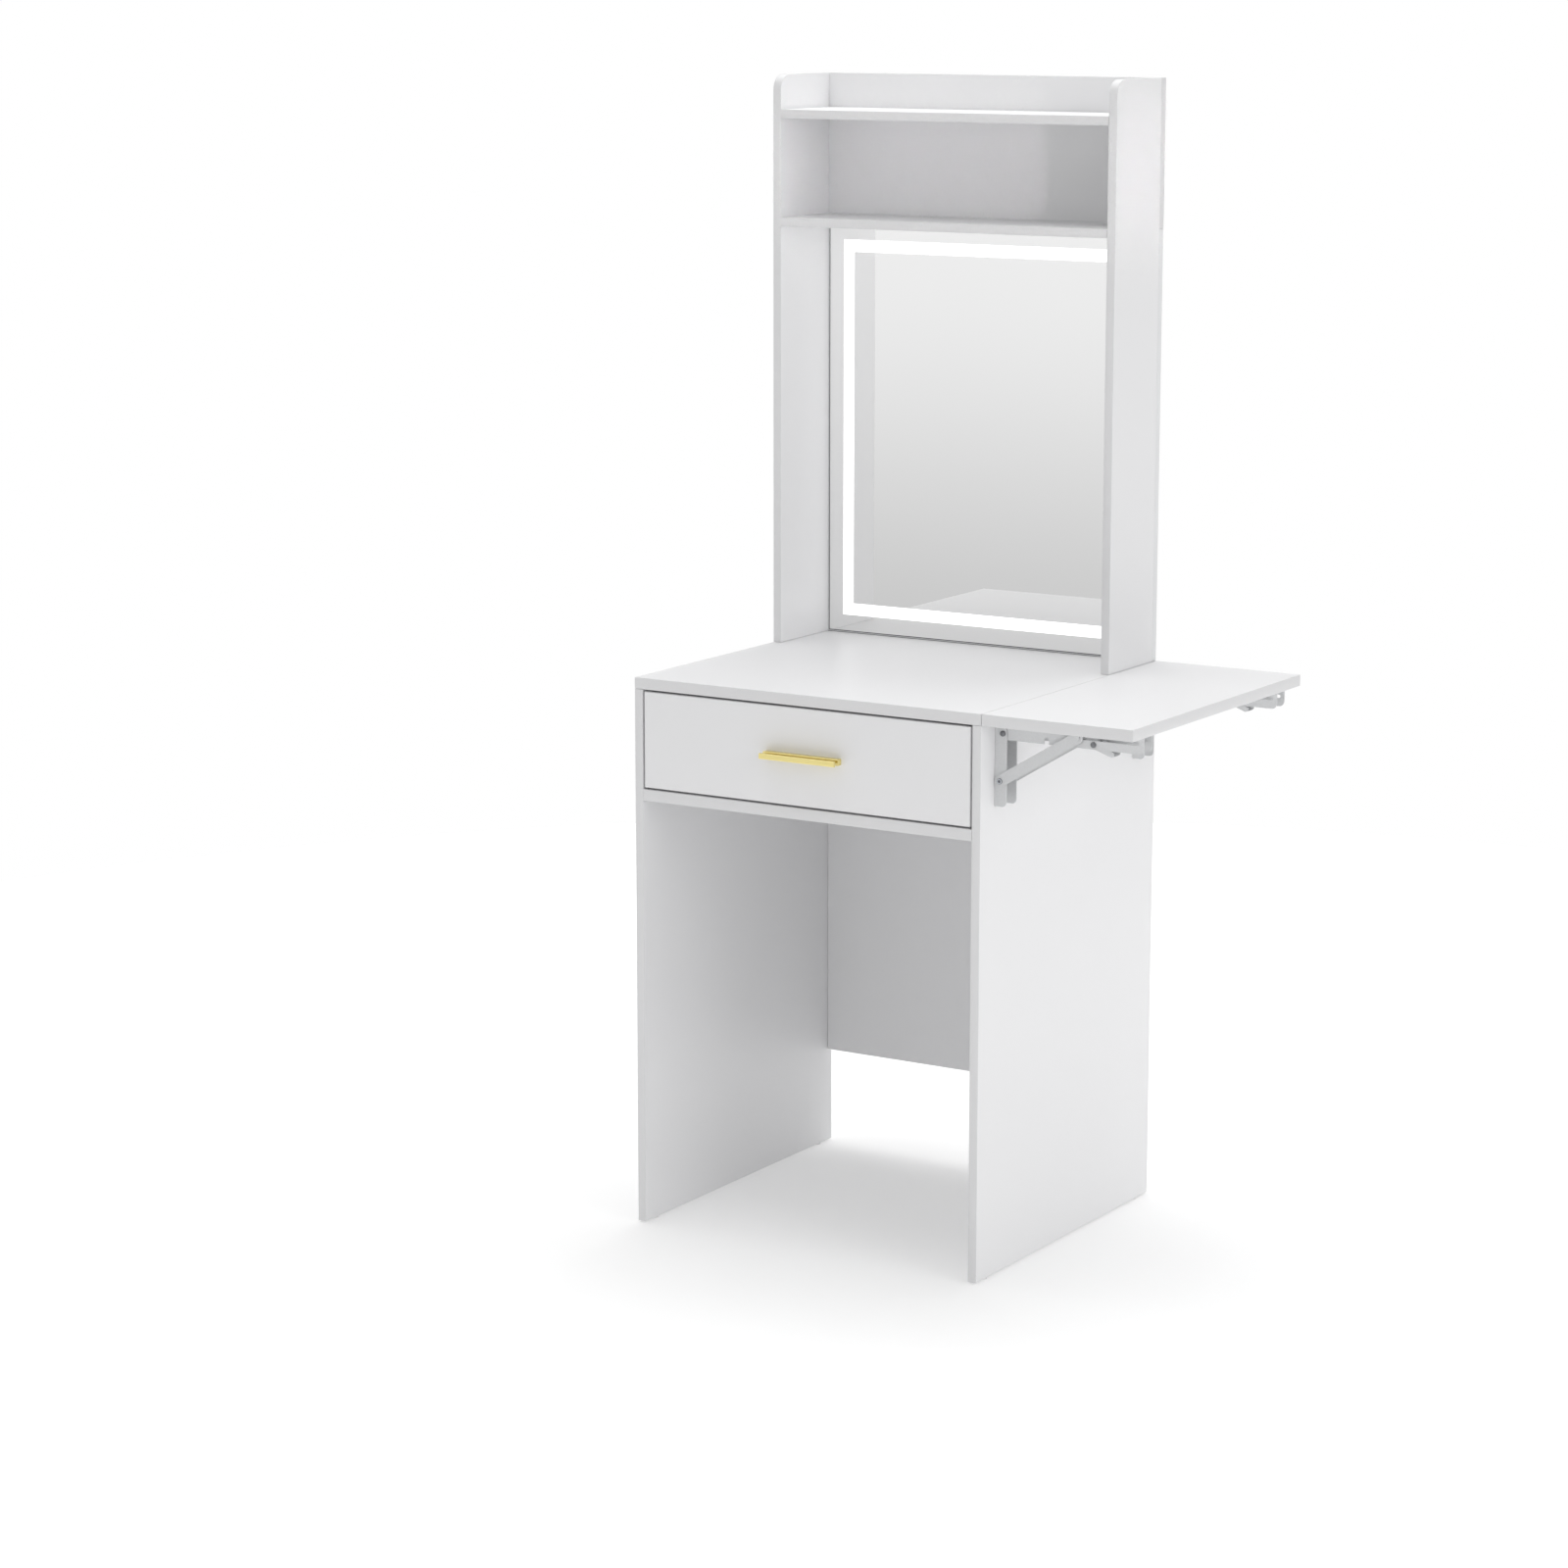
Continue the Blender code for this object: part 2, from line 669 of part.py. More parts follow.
def make_arm(end, y, holder):
    top = HINGE_DROP - SEAT
    outline = [
        (-ARM_DROP, top),
        *arc(0, 0, ARM_DROP, 180, 270, 6),
        *arc(ARM_END - ARM_CORNER, ARM_CORNER - ARM_DROP, ARM_CORNER, 270, 360, 6),
        (ARM_END, top),
    ]
    place = (HINGE_X, y, HINGE_Z)
    finish = finishes["white_steel"]
    arm = plate(f"bracket_shelf_arm_{end}", [outline], 2 * ARM_HALF, XZ, finish, place, holder)
    inner = ARM_HALF - SHEET
    hollow = block_cutter(
        f"arm_hollow_{end}",
        (HINGE_X - 0.02, y - inner, HINGE_Z - 0.02),
        (HINGE_X + ARM_END + 0.01, y + inner, HINGE_Z + top - SHEET),
    )
    start = BRACE_LENGTH * math.cos(BRACE_ANGLE) - BRACE_PIN_IN
    stop = rivet_when_folded()
    slot = [
        *arc(stop + SLOT_END - SLOT_HALF, SLOT_UP, SLOT_HALF, -90, 90, 6),
        *arc(start - SLOT_END + SLOT_HALF, SLOT_UP, SLOT_HALF, 90, 270, 6),
    ]
    width = 4 * ARM_HALF
    slot_tool = plate(f"arm_slot_{end}", [slot], width, XZ, None, place)
    half = PIN_R + 0.001
    notch = [
        (BRACE_PIN_DOWN - half, -ARM_DROP - 0.005),
        (BRACE_PIN_DOWN + half, -ARM_DROP - 0.005),
        *arc(BRACE_PIN_DOWN, -BRACE_PIN_IN, half, 0, 180, 8),
    ]
    notch_tool = plate(f"arm_notch_{end}", [notch], width, XZ, None, place)
    cut(arm, hollow, slot_tool, notch_tool)
    cut(arm, pin_cutter("hinge", end, y), pin_cutter("lever", end, y))
    for number, along in enumerate(ARM_SCREWS, 1):
        name = f"arm_screw_hole_{end}_{number}"
        spot = (HINGE_X + along, y, TOP_UNDER)
        cut(arm, rod_cutter(name, spot, SCREW_HOLE_R, 0.010, "Z"))


def rivet_when_folded():
    """How far along the arm the brace's rivet sits once the leaf hangs down."""
    across = SLOT_UP + BRACE_PIN_IN
    return BRACE_PIN_DOWN + math.sqrt(BRACE_LENGTH**2 - across**2)


def make_brace(end, y):
    """Two flat bars on the brace pin, each with a rivet that runs in the arm's slot."""
    x, z = pin_place("brace")
    axis = add_axis(f"brace_axis_{end}", (x, y, z))
    half = BRACE_W / 2
    bar_middle = BRACE_HALF - SHEET / 2
    outlines = [
        [*arc(BRACE_LENGTH, 0, half, -90, 90), *arc(0, 0, half, 90, 270)],
        ring(0, 0, PIN_R + PIN_CLEARANCE),
        ring(BRACE_LENGTH, 0, RIVET_R + PIN_CLEARANCE),
    ]
    head_under = SHEET / 2 + SEAT
    rivet = [
        (0, head_under + RIVET_HEAD_T),
        (RIVET_HEAD_R, head_under + RIVET_HEAD_T),
        (RIVET_HEAD_R, head_under),
        (RIVET_R, head_under),
        (RIVET_R, -head_under),
        (0, -head_under),
    ]
    rivet_x = x + BRACE_LENGTH * math.cos(BRACE_ANGLE)
    rivet_z = z + BRACE_LENGTH * math.sin(BRACE_ANGLE)
    for side, out in (("front", -1), ("rear", 1)):
        place_y = y + out * bar_middle
        bar = plate(
            f"bracket_brace_bar_{end}_{side}",
            outlines,
            SHEET,
            XZ,
            finishes["white_steel"],
            (x, place_y, z),
            axis,
        )
        bar.rotation_euler = (0, -BRACE_ANGLE, 0)
        name = f"bracket_slot_rivet_{end}_{side}"
        place = (rivet_x, place_y, rivet_z)
        turned(name, rivet, finishes["dark_steel"], place, axis, axis="Y", flip=out > 0)


def make_lever(end, y):
    """A folded plate: its left end props the rivet, its right end is pushed up to let go."""
    x, z = pin_place("lever")
    axis = add_axis(f"lever_axis_{end}", (x, y, z))
    slope = math.degrees(LEVER_ANGLE)
    tip_x = LEVER_TIP * math.cos(LEVER_ANGLE)
    tip_z = -LEVER_TIP * math.sin(LEVER_ANGLE)
    rivet_x = BRACE_LENGTH * math.cos(BRACE_ANGLE) - BRACE_PIN_IN + RIVET_R
    prop_x = rivet_x + SEAT - LEVER_PIN_ALONG
    prop_z = SLOT_UP + LEVER_PIN_DOWN
    outline = [
        (prop_x, prop_z - 0.0035),
        *arc(0, 0, LEVER_BOSS_R, 200, 270 - slope, 4),
        *arc(tip_x, tip_z, LEVER_TIP_R, -90 - slope, 90 - slope, 6),
        *arc(0, 0, LEVER_BOSS_R, 90 - slope, 115, 4),
        (prop_x, prop_z + 0.0030),
    ]
    lever = plate(
        f"bracket_release_lever_{end}",
        [outline],
        2 * LEVER_HALF,
        XZ,
        finishes["white_steel"],
        (x, y, z),
        axis,
    )
    inner = LEVER_HALF - SHEET
    reach = 0.08
    for name, low, high in (
        ("over_web", (-reach, SHEET - LEVER_TIP_R), (reach, reach)),
        ("before_web", (-reach, -reach), (LEVER_WEB_FROM, reach)),
    ):
        size = (high[0] - low[0], 2 * inner, high[1] - low[1])
        mesh = box_mesh(name, size)
        middle = Matrix.Translation(((low[0] + high[0]) / 2, 0, (low[1] + high[1]) / 2))
        mesh.transform(middle)
        tool = add_object(f"lever_{name}_{end}", mesh, None, (x, y, z))
        tool.rotation_euler = (0, LEVER_ANGLE, 0)
        cut(lever, tool)
    cut(lever, pin_cutter("lever", end, y))


def make_leaf():
    axis = add_axis("leaf_axis", (HINGE_X, (FRONT + REAR) / 2, HINGE_Z))
    start = RIGHT + LEAF_GAP
    slab(
        "side_leaf",
        (start, FRONT, TOP_UNDER),
        (start + LEAF_LENGTH, REAR, DESK_HEIGHT),
        finishes["white_board"],
        axis,
    )
    for end, y in (("front", FRONT + BRACKET_INSET), ("rear", REAR - BRACKET_INSET)):
        make_wall_channel(end, y)
        make_arm(end, y, axis)
        make_brace(end, y)
        make_lever(end, y)
        for kind, half_grip, holder in (
            ("hinge", WALL_HALF, None),
            ("brace", BRACE_HALF, None),
            ("lever", ARM_HALF, axis),
        ):
            x, z = pin_place(kind)
            turned(
                f"bracket_{kind}_pin_{end}",
                rivet_profile(PIN_R, RIVET_HEAD_R, half_grip),
                finishes["dark_steel"],
                (x, y, z),
                holder,
                axis="Y",
            )


clear_scene()
parts = collection("dressing_table")
cutters = collection("cutters")
cutters.hide_render = True
finishes = {
    "white_board": material("white_board", (0.86, 0.86, 0.87), 0.45),
    "drawer_board": material("drawer_board", (0.82, 0.82, 0.83), 0.55),
    "plastic_white": material("plastic_white", (0.84, 0.84, 0.85), 0.40),
    "white_steel": material("white_steel", (0.72, 0.72, 0.73), 0.35),
    "dark_steel": material("dark_steel", (0.22, 0.22, 0.23), 0.35, 0.9),
    "zinc": material("zinc", (0.62, 0.63, 0.65), 0.32, 0.9),
    "gold": material("gold", (0.83, 0.66, 0.22), 0.28, 0.9),
    "mirror": material("mirror", (0.90, 0.92, 0.93), 0.03, 1.0),
    "diffuser": material("diffuser", (0.95, 0.95, 0.95), 0.5, 0.0, 1.0),
    "led": material("led", (0.95, 0.92, 0.80), 0.5, 0.0, 2.0),
    "circuit": material("circuit", (0.03, 0.20, 0.08), 0.5),
    "socket": material("socket", (0.03, 0.03, 0.03), 0.5),
    "beech": material("beech", (0.60, 0.42, 0.25), 0.6),
}
make_desk()
make_hutch()
make_mirror()
make_drawer()
make_slides()
make_leaf()
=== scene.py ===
"""Dressing table with a lit mirror hutch, one drawer and a fold-down side leaf: its looks."""

import math

import bmesh
import bpy
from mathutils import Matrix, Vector


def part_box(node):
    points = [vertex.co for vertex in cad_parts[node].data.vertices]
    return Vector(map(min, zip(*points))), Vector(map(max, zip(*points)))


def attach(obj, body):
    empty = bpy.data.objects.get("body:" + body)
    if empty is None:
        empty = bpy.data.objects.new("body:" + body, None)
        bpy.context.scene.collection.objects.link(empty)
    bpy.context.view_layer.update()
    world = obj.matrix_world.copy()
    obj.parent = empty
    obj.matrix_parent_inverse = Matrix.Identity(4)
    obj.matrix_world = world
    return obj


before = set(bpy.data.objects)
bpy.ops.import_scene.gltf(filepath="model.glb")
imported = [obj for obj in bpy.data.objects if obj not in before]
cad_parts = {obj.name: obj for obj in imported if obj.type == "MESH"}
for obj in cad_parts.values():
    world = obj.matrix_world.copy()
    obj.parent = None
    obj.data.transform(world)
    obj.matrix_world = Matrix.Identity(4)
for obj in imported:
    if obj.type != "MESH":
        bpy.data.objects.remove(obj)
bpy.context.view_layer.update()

# ---------------------------------------------------------------- Camera
# A long lens a little above the hutch, looking down at the table from its right-hand front.
# It stands more than five metres off, so the boards' edges stay close to parallel.
lens = bpy.data.cameras.new("camera")
lens.lens = 95.45
lens.sensor_width = 36.0
lens.clip_end = 200.0
camera = bpy.data.objects.new("camera", lens)
camera.location = (2.6434, -4.6906, 1.6559)
camera.rotation_euler = (math.radians(90 - 11.108), 0, math.radians(31.926))
bpy.context.scene.collection.objects.link(camera)
bpy.context.scene.camera = camera

# ---------------------------------------------------------------- Floor
# A round white studio floor, matt, with the faint unevenness of painted board.
# It is lit a little from within, more so far out, so that open floor burns out to white.


def linear(hex_colour):
    """An sRGB hex colour as the linear values that shaders take."""
    parts = [int(hex_colour[i : i + 2], 16) / 255 for i in (1, 3, 5)]
    return (*[p / 12.92 if p <= 0.04045 else ((p + 0.055) / 1.055) ** 2.4 for p in parts], 1.0)


def put(tree, kind, settings=None, inputs=None):
    """Adds a node, with its settings, its input values and the sockets that feed it."""
    node = tree.nodes.new(kind)
    for name, value in (settings or {}).items():
        setattr(node, name, value)
    for name, value in (inputs or {}).items():
        if isinstance(value, bpy.types.NodeSocket):
            tree.links.new(value, node.inputs[name])
        else:
            node.inputs[name].default_value = value
    return node


def new_finish(name, **sockets):
    """A material with a Principled shader, and the Object coordinates that its patterns read."""
    made = bpy.data.materials.new(name)
    made.use_nodes = True
    tree = made.node_tree
    tree.nodes.clear()
    shader = put(tree, "ShaderNodeBsdfPrincipled")
    for socket, value in sockets.items():
        shader.inputs[socket.replace("_", " ")].default_value = value
    put(tree, "ShaderNodeOutputMaterial", inputs={"Surface": shader.outputs[0]})
    place = put(tree, "ShaderNodeTexCoord").outputs["Object"]
    return made, tree, shader, place


FLOOR_R = 2.7
GLOW_STARTS, GLOW_FULL = 0.60, 1.90  # how far out the floor's own light grows
GLOW_NEAR, GLOW_FAR = 0.20, 0.56  # and how strong it is there

floor_mesh = bpy.data.meshes.new("studio_floor")
floor_shape = bmesh.new()
bmesh.ops.create_circle(floor_shape, cap_ends=True, segments=96, radius=FLOOR_R)
floor_shape.to_mesh(floor_mesh)
floor_shape.free()
floor = bpy.data.objects.new("studio_floor", floor_mesh)
bpy.context.scene.collection.objects.link(floor)
floor_paint, tree, shader, place = new_finish(
    "painted studio floor", Roughness=0.9, Specular_IOR_Level=0.1, Emission_Color=linear("#FFFFFF")
)
grain = put(tree, "ShaderNodeTexNoise", inputs={"Vector": place, "Scale": 1.5, "Detail": 3})
tone = put(
    tree,
    "ShaderNodeMix",
    {"data_type": "RGBA"},
    {"Factor": grain.outputs["Fac"], "A": linear("#F0F0F0"), "B": linear("#F4F4F4")},
)
tree.links.new(tone.outputs["Result"], shader.inputs["Base Color"])
out = put(tree, "ShaderNodeVectorMath", {"operation": "LENGTH"}, {0: place})
glow = put(
    tree,
    "ShaderNodeMapRange",
    {"interpolation_type": "SMOOTHSTEP"},
    {
        "Value": out.outputs["Value"],
        "From Min": GLOW_STARTS,
        "From Max": GLOW_FULL,
        "To Min": GLOW_NEAR,
        "To Max": GLOW_FAR,
    },
)
tree.links.new(glow.outputs["Result"], shader.inputs["Emission Strength"])
floor_mesh.materials.append(floor_paint)

# ---------------------------------------------------------------- Light
# Two soft lights at the right-hand front, two above, a narrow weak one into the cubby over
# the mirror, and an even pale room. A tall graded card in front is seen only in
# reflections: the mirror shows it.


def area_light(name, place, aim, size, power):
    """A rectangular lamp at a place, turned to face its aim."""
    light = bpy.data.lights.new(name, "AREA")
    light.shape = "RECTANGLE"
    light.size, light.size_y = size
    light.energy = power
    made = bpy.data.objects.new(name, light)
    made.location = place
    made.rotation_euler = (Vector(aim) - Vector(place)).to_track_quat("-Z", "Y").to_euler()
    bpy.context.scene.collection.objects.link(made)
    return made


area_light("key_softbox", (3.9, -1.0, 2.1), (0.0, 0.0, 0.8), (2.0, 2.0), 24)
area_light("low_softbox", (3.6, -1.8, 1.7), (0.0, 0.0, 0.8), (2.0, 2.0), 9)
area_light("top_softbox", (-0.6, 0.2, 4.2), (-0.1, 0.0, 0.9), (3.0, 3.0), 66)
area_light("rear_top_softbox", (0.3, 1.8, 4.0), (0.0, 0.0, 0.75), (2.4, 2.4), 28)
cubby_lamp = area_light("shelf_strip", (2.6, -2.0, 1.50), (-0.15, 0.15, 1.39), (0.9, 0.10), 0.09)
cubby_lamp.data.spread = math.radians(5)

room = bpy.data.worlds.new("pale_room")
room.use_nodes = True
bpy.context.scene.world = room
tree = room.node_tree
tree.nodes.clear()
seen = put(tree, "ShaderNodeBackground", inputs={"Color": (1, 1, 1, 1), "Strength": 1.0})
felt = put(tree, "ShaderNodeBackground", inputs={"Color": (1, 1, 1, 1), "Strength": 0.55})
ray = put(tree, "ShaderNodeLightPath")
choice = put(tree, "ShaderNodeMixShader", inputs={0: ray.outputs["Is Camera Ray"]})
tree.links.new(felt.outputs[0], choice.inputs[1])
tree.links.new(seen.outputs[0], choice.inputs[2])
put(tree, "ShaderNodeOutputWorld", inputs={"Surface": choice.outputs[0]})

CARD_Y, CARD_HALF, CARD_FOOT, CARD_TOP = -3.0, 5.0, 0.02, 3.0
card_mesh = bpy.data.meshes.new("studio_card")
card_mesh.from_pydata(
    [
        (-CARD_HALF, CARD_Y, CARD_FOOT),
        (CARD_HALF, CARD_Y, CARD_FOOT),
        (CARD_HALF, CARD_Y, CARD_TOP),
        (-CARD_HALF, CARD_Y, CARD_TOP),
    ],
    [],
    [(0, 3, 2, 1)],
)
card = bpy.data.objects.new("studio_card", card_mesh)
bpy.context.scene.collection.objects.link(card)
card_paint = bpy.data.materials.new("graded studio card")
card_paint.use_nodes = True
tree = card_paint.node_tree
tree.nodes.clear()
place = put(tree, "ShaderNodeTexCoord").outputs["Object"]
height = put(tree, "ShaderNodeSeparateXYZ", inputs={0: place})
graded = put(
    tree,
    "ShaderNodeMapRange",
    {"interpolation_type": "SMOOTHSTEP"},
    {
        "Value": height.outputs["Z"],
        "From Min": 0.1,
        "From Max": 0.95,
        "To Min": 0.63,
        "To Max": 0.95,
    },
)
glow = put(tree, "ShaderNodeEmission", inputs={"Strength": graded.outputs["Result"]})
put(tree, "ShaderNodeOutputMaterial", inputs={"Surface": glow.outputs[0]})
card_mesh.materials.append(card_paint)
for way in ("camera", "diffuse", "shadow", "transmission"):
    setattr(card, f"visible_{way}", False)

bpy.context.scene.view_settings.view_transform = "Standard"

# ---------------------------------------------------------------- Desk and hutch boards
# White melamine-faced chipboard: a hard satin paper film with a very fine pearl grain.
# Light goes soft on it, with a slow drift in gloss where it has been wiped.

PEARL_GRAIN = 0.0016  # metres; the real grain, 0.4 mm, is too fine to show
WIPE_LENGTH = 0.30

melamine, tree, shader, place = new_finish("white melamine board", IOR=1.5)
pearl = put(
    tree, "ShaderNodeTexNoise", inputs={"Vector": place, "Scale": 1 / PEARL_GRAIN, "Detail": 3}
)
drift = put(
    tree, "ShaderNodeTexNoise", inputs={"Vector": place, "Scale": 1 / WIPE_LENGTH, "Detail": 2}
)
film = put(
    tree,
    "ShaderNodeMix",
    {"data_type": "RGBA"},
    {"Factor": drift.outputs["Fac"], "A": linear("#E9E9EA"), "B": linear("#ECECED")},
)
gloss = put(
    tree,
    "ShaderNodeMapRange",
    inputs={"Value": drift.outputs["Fac"], "To Min": 0.36, "To Max": 0.46},
)
relief = put(
    tree,
    "ShaderNodeBump",
    inputs={"Height": pearl.outputs["Fac"], "Strength": 0.10, "Distance": 0.00008},
)
tree.links.new(film.outputs["Result"], shader.inputs["Base Color"])
tree.links.new(gloss.outputs["Result"], shader.inputs["Roughness"])
tree.links.new(relief.outputs["Normal"], shader.inputs["Normal"])


def refinish(finish, *names):
    """Gives CAD nodes whose shape is right their real finish."""
    for name in names:
        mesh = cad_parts[name].data
        mesh.materials.clear()
        mesh.materials.append(finish)


refinish(
    melamine,
    "desk_left_side_panel",
    "desk_right_side_panel",
    "desk_top",
    "drawer_shelf",
    "desk_back_panel",
    "hutch_left_side_panel",
    "hutch_right_side_panel",
    "hutch_tray_shelf",
    "hutch_cubby_shelf",
    "hutch_back_board",
    "drawer_front",
    "side_leaf",
)

# ---------------------------------------------------------------- Edge banding
# Every board's front, top and outer edges carry glued PVC banding, a shade greyer than the
# melamine and faintly streaked along. It stands a hair proud and its corners are scraped round.

SIDE_BOARD, TOP_BOARD = 0.0120, 0.0150  # the two thicknesses of board
BAND_T = 0.0010
BAND_PROUD = 0.0002
BAND_CORNER = 0.0005
STREAK = 0.040

edging, tree, shader, place = new_finish("white PVC edging", IOR=1.52, Roughness=0.42)
streak = put(
    tree, "ShaderNodeTexNoise", inputs={"Vector": place, "Scale": 1 / STREAK, "Detail": 3}
)
vinyl = put(
    tree,
    "ShaderNodeMix",
    {"data_type": "RGBA"},
    {"Factor": streak.outputs["Fac"], "A": linear("#DCDCDD"), "B": linear("#DFDFE0")},
)
# Scrape marks about 1.4 mm across: the real ones are finer than would show.
scrape = put(tree, "ShaderNodeTexNoise", inputs={"Vector": place, "Scale": 700, "Detail": 2})
relief = put(
    tree,
    "ShaderNodeBump",
    inputs={"Height": scrape.outputs["Fac"], "Strength": 0.08, "Distance": 0.00008},
)
tree.links.new(vinyl.outputs["Result"], shader.inputs["Base Color"])
tree.links.new(relief.outputs["Normal"], shader.inputs["Normal"])


def new_tree(name, sizes):
    """A Geometry Nodes tree with named inputs: (name, socket type, default)."""
    tree = bpy.data.node_groups.new(name, "GeometryNodeTree")
    tree.interface.new_socket("Geometry", in_out="INPUT", socket_type="NodeSocketGeometry")
    for label, kind, default in sizes:
        made = tree.interface.new_socket(label, in_out="INPUT", socket_type=kind)
        if default is not None:
            made.default_value = default
    tree.interface.new_socket("Geometry", in_out="OUTPUT", socket_type="NodeSocketGeometry")
    return tree, put(tree, "NodeGroupInput").outputs


def end_tree(tree, geometry, finish):
    """Closes a tree: instances become real, and take their finish."""
    real = put(tree, "GeometryNodeRealizeInstances", inputs={"Geometry": geometry})
    done = put(
        tree,
        "GeometryNodeSetMaterial",
        inputs={"Geometry": real.outputs["Geometry"], "Material": finish},
    )
    put(tree, "NodeGroupOutput", inputs={"Geometry": done.outputs["Geometry"]})


def sweep_bar(tree, lines, across, size, corner, steps):
    """Sweeps a bar of a width and a height, with rounded corners, along the tree's lines."""
    path = put(tree, "GeometryNodeMeshToCurve", inputs={"Mesh": lines})
    level = put(
        tree,
        "GeometryNodeSetCurveNormal",
        {"mode": "FREE"},
        {"Curve": path.outputs["Curve"], "Normal": across},
    )
    section = put(
        tree,
        "GeometryNodeCurvePrimitiveQuadrilateral",
        inputs={"Width": size[0], "Height": size[1]},
    )
    rounded = put(
        tree,
        "GeometryNodeFilletCurve",
        {"mode": "POLY"},
        {"Curve": section.outputs["Curve"], "Radius": corner, "Count": steps},
    )
    swept = put(
        tree,
        "GeometryNodeCurveToMesh",
        inputs={
            "Curve": level.outputs["Curve"],
            "Profile Curve": rounded.outputs["Curve"],
            "Fill Caps": True,
        },
    )
    return swept.outputs["Mesh"]


def grow(name, tree, points, edges, sizes, facing=None):
    """Runs a tree on points, or on lines between them, and returns what it makes as a mesh."""
    guide = bpy.data.meshes.new(name)
    guide.from_pydata(points, edges, [])
    if facing:
        toward = guide.attributes.new("facing", "FLOAT_VECTOR", "POINT")
        toward.data.foreach_set("vector", [value for vector in facing for value in vector])
    carrier = bpy.data.objects.new(name, guide)
    bpy.context.scene.collection.objects.link(carrier)
    modifier = carrier.modifiers.new(name, "NODES")
    modifier.node_group = tree
    for item in tree.interface.items_tree:
        if item.in_out == "INPUT" and item.name in sizes:
            modifier[item.identifier] = sizes[item.name]
    graph = bpy.context.evaluated_depsgraph_get()
    mesh = bpy.data.meshes.new_from_object(carrier.evaluated_get(graph))
    bpy.data.objects.remove(carrier)
    mesh.name = name
    return mesh


tree, given = new_tree(
    "edge_banding",
    [
        ("Across board", "NodeSocketVector", (0, 0, 1)),
        ("Board thickness", "NodeSocketFloat", SIDE_BOARD),
        ("Band thickness", "NodeSocketFloat", BAND_T),
        ("Corner radius", "NodeSocketFloat", BAND_CORNER),
        ("Banding", "NodeSocketMaterial", None),
    ],
)
swept = sweep_bar(
    tree,
    given["Geometry"],
    given["Across board"],
    (given["Board thickness"], given["Band thickness"]),
    given["Corner radius"],
    3,
)
end_tree(tree, swept, given["Banding"])
banding_tree = tree


def add_piece(name, mesh, finish, body):
    """Puts a finished mesh in the scene, moving with a CAD body."""
    made = bpy.data.objects.new(name, mesh)
    bpy.context.scene.collection.objects.link(made)
    if finish and not mesh.materials:
        mesh.materials.append(finish)
    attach(made, body)
    return made


def band_edges(name, lines, across, thickness, body):
    """One run of banding for each line of points."""
    points, edges = [], []
    for line in lines:
        start = len(points)
        points += line
        edges += [(start + i, start + i + 1) for i in range(len(line) - 1)]
    sizes = {"Across board": across, "Board thickness": thickness, "Banding": edging}
    mesh = grow(name, banding_tree, points, edges, sizes)
    return add_piece(name, mesh, edging, body)


DEEP = BAND_T / 2 - BAND_PROUD  # a band's middle behind the board's edge


def front_line(node, along):
    """The line that a straight front edge's band follows, along X or Z."""
    low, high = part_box(node)
    y = low.y + DEEP
    if along == "X":
        middle = (low.z + high.z) / 2
        return [(low.x, y, middle), (high.x, y, middle)]
    middle = (low.x + high.x) / 2
    return [(middle, y, low.z), (middle, y, high.z)]


ALONG_X, ALONG_Y, ALONG_Z = (1, 0, 0), (0, 1, 0), (0, 0, 1)
side_lines = [front_line(f"desk_{side}_side_panel", "Z") for side in ("left", "right")]
band_edges("desk_side_banding", side_lines, ALONG_X, SIDE_BOARD, "carcass")
rail_line = front_line("drawer_shelf", "X")
band_edges("drawer_shelf_banding", [rail_line], ALONG_Z, TOP_BOARD, "carcass")
shelf_lines = [front_line(f"hutch_{shelf}_shelf", "X") for shelf in ("tray", "cubby")]
band_edges("hutch_shelf_banding", shelf_lines, ALONG_Z, SIDE_BOARD, "carcass")


def slab_loop(node):
    """The band's line round a level board: left, front and right edges and the rear one."""
    low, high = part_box(node)
    middle = (low.z + high.z) / 2
    x0, x1 = low.x + DEEP, high.x - DEEP
    y0, y1 = low.y + DEEP, high.y - DEEP
    corners = [(x0, y0), (x1, y0), (x1, y1), (x0, y1)]
    ends = [[corners[i], corners[(i + 1) % 4]] for i in range(4)]
    return [[(x, y, middle) for x, y in pair] for pair in ends]


band_edges("desk_top_banding", slab_loop("desk_top"), ALONG_Z, TOP_BOARD, "carcass")
band_edges("side_leaf_banding", slab_loop("side_leaf"), ALONG_Z, TOP_BOARD, "leaf")

HUTCH_CORNER = 0.020
CORNER_STEPS = 16
hutch_lines = []
for side in ("left", "right"):
    low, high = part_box(f"hutch_{side}_side_panel")
    middle = (low.x + high.x) / 2
    turn_y, turn_z = low.y + HUTCH_CORNER, high.z - HUTCH_CORNER
    reach = HUTCH_CORNER - DEEP
    line = [(middle, low.y + DEEP, low.z)]
    for i in range(CORNER_STEPS + 1):
        angle = math.radians(180 - 90 * i / CORNER_STEPS)
        line.append((middle, turn_y + reach * math.cos(angle), turn_z + reach * math.sin(angle)))
    line.append((middle, high.y, high.z - DEEP))
    hutch_lines.append(line)
band_edges("hutch_side_banding", hutch_lines, ALONG_X, SIDE_BOARD, "carcass")

low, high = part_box("hutch_back_board")
middle = (low.y + high.y) / 2
corners = [(low.x + DEEP, low.z), (low.x + DEEP, high.z - DEEP)]
corners += [(high.x - DEEP, high.z - DEEP), (high.x - DEEP, low.z)]
back_lines = [[(x, middle, z) for x, z in corners[i : i + 2]] for i in range(3)]
band_edges("hutch_back_banding", back_lines, ALONG_Y, SIDE_BOARD, "carcass")

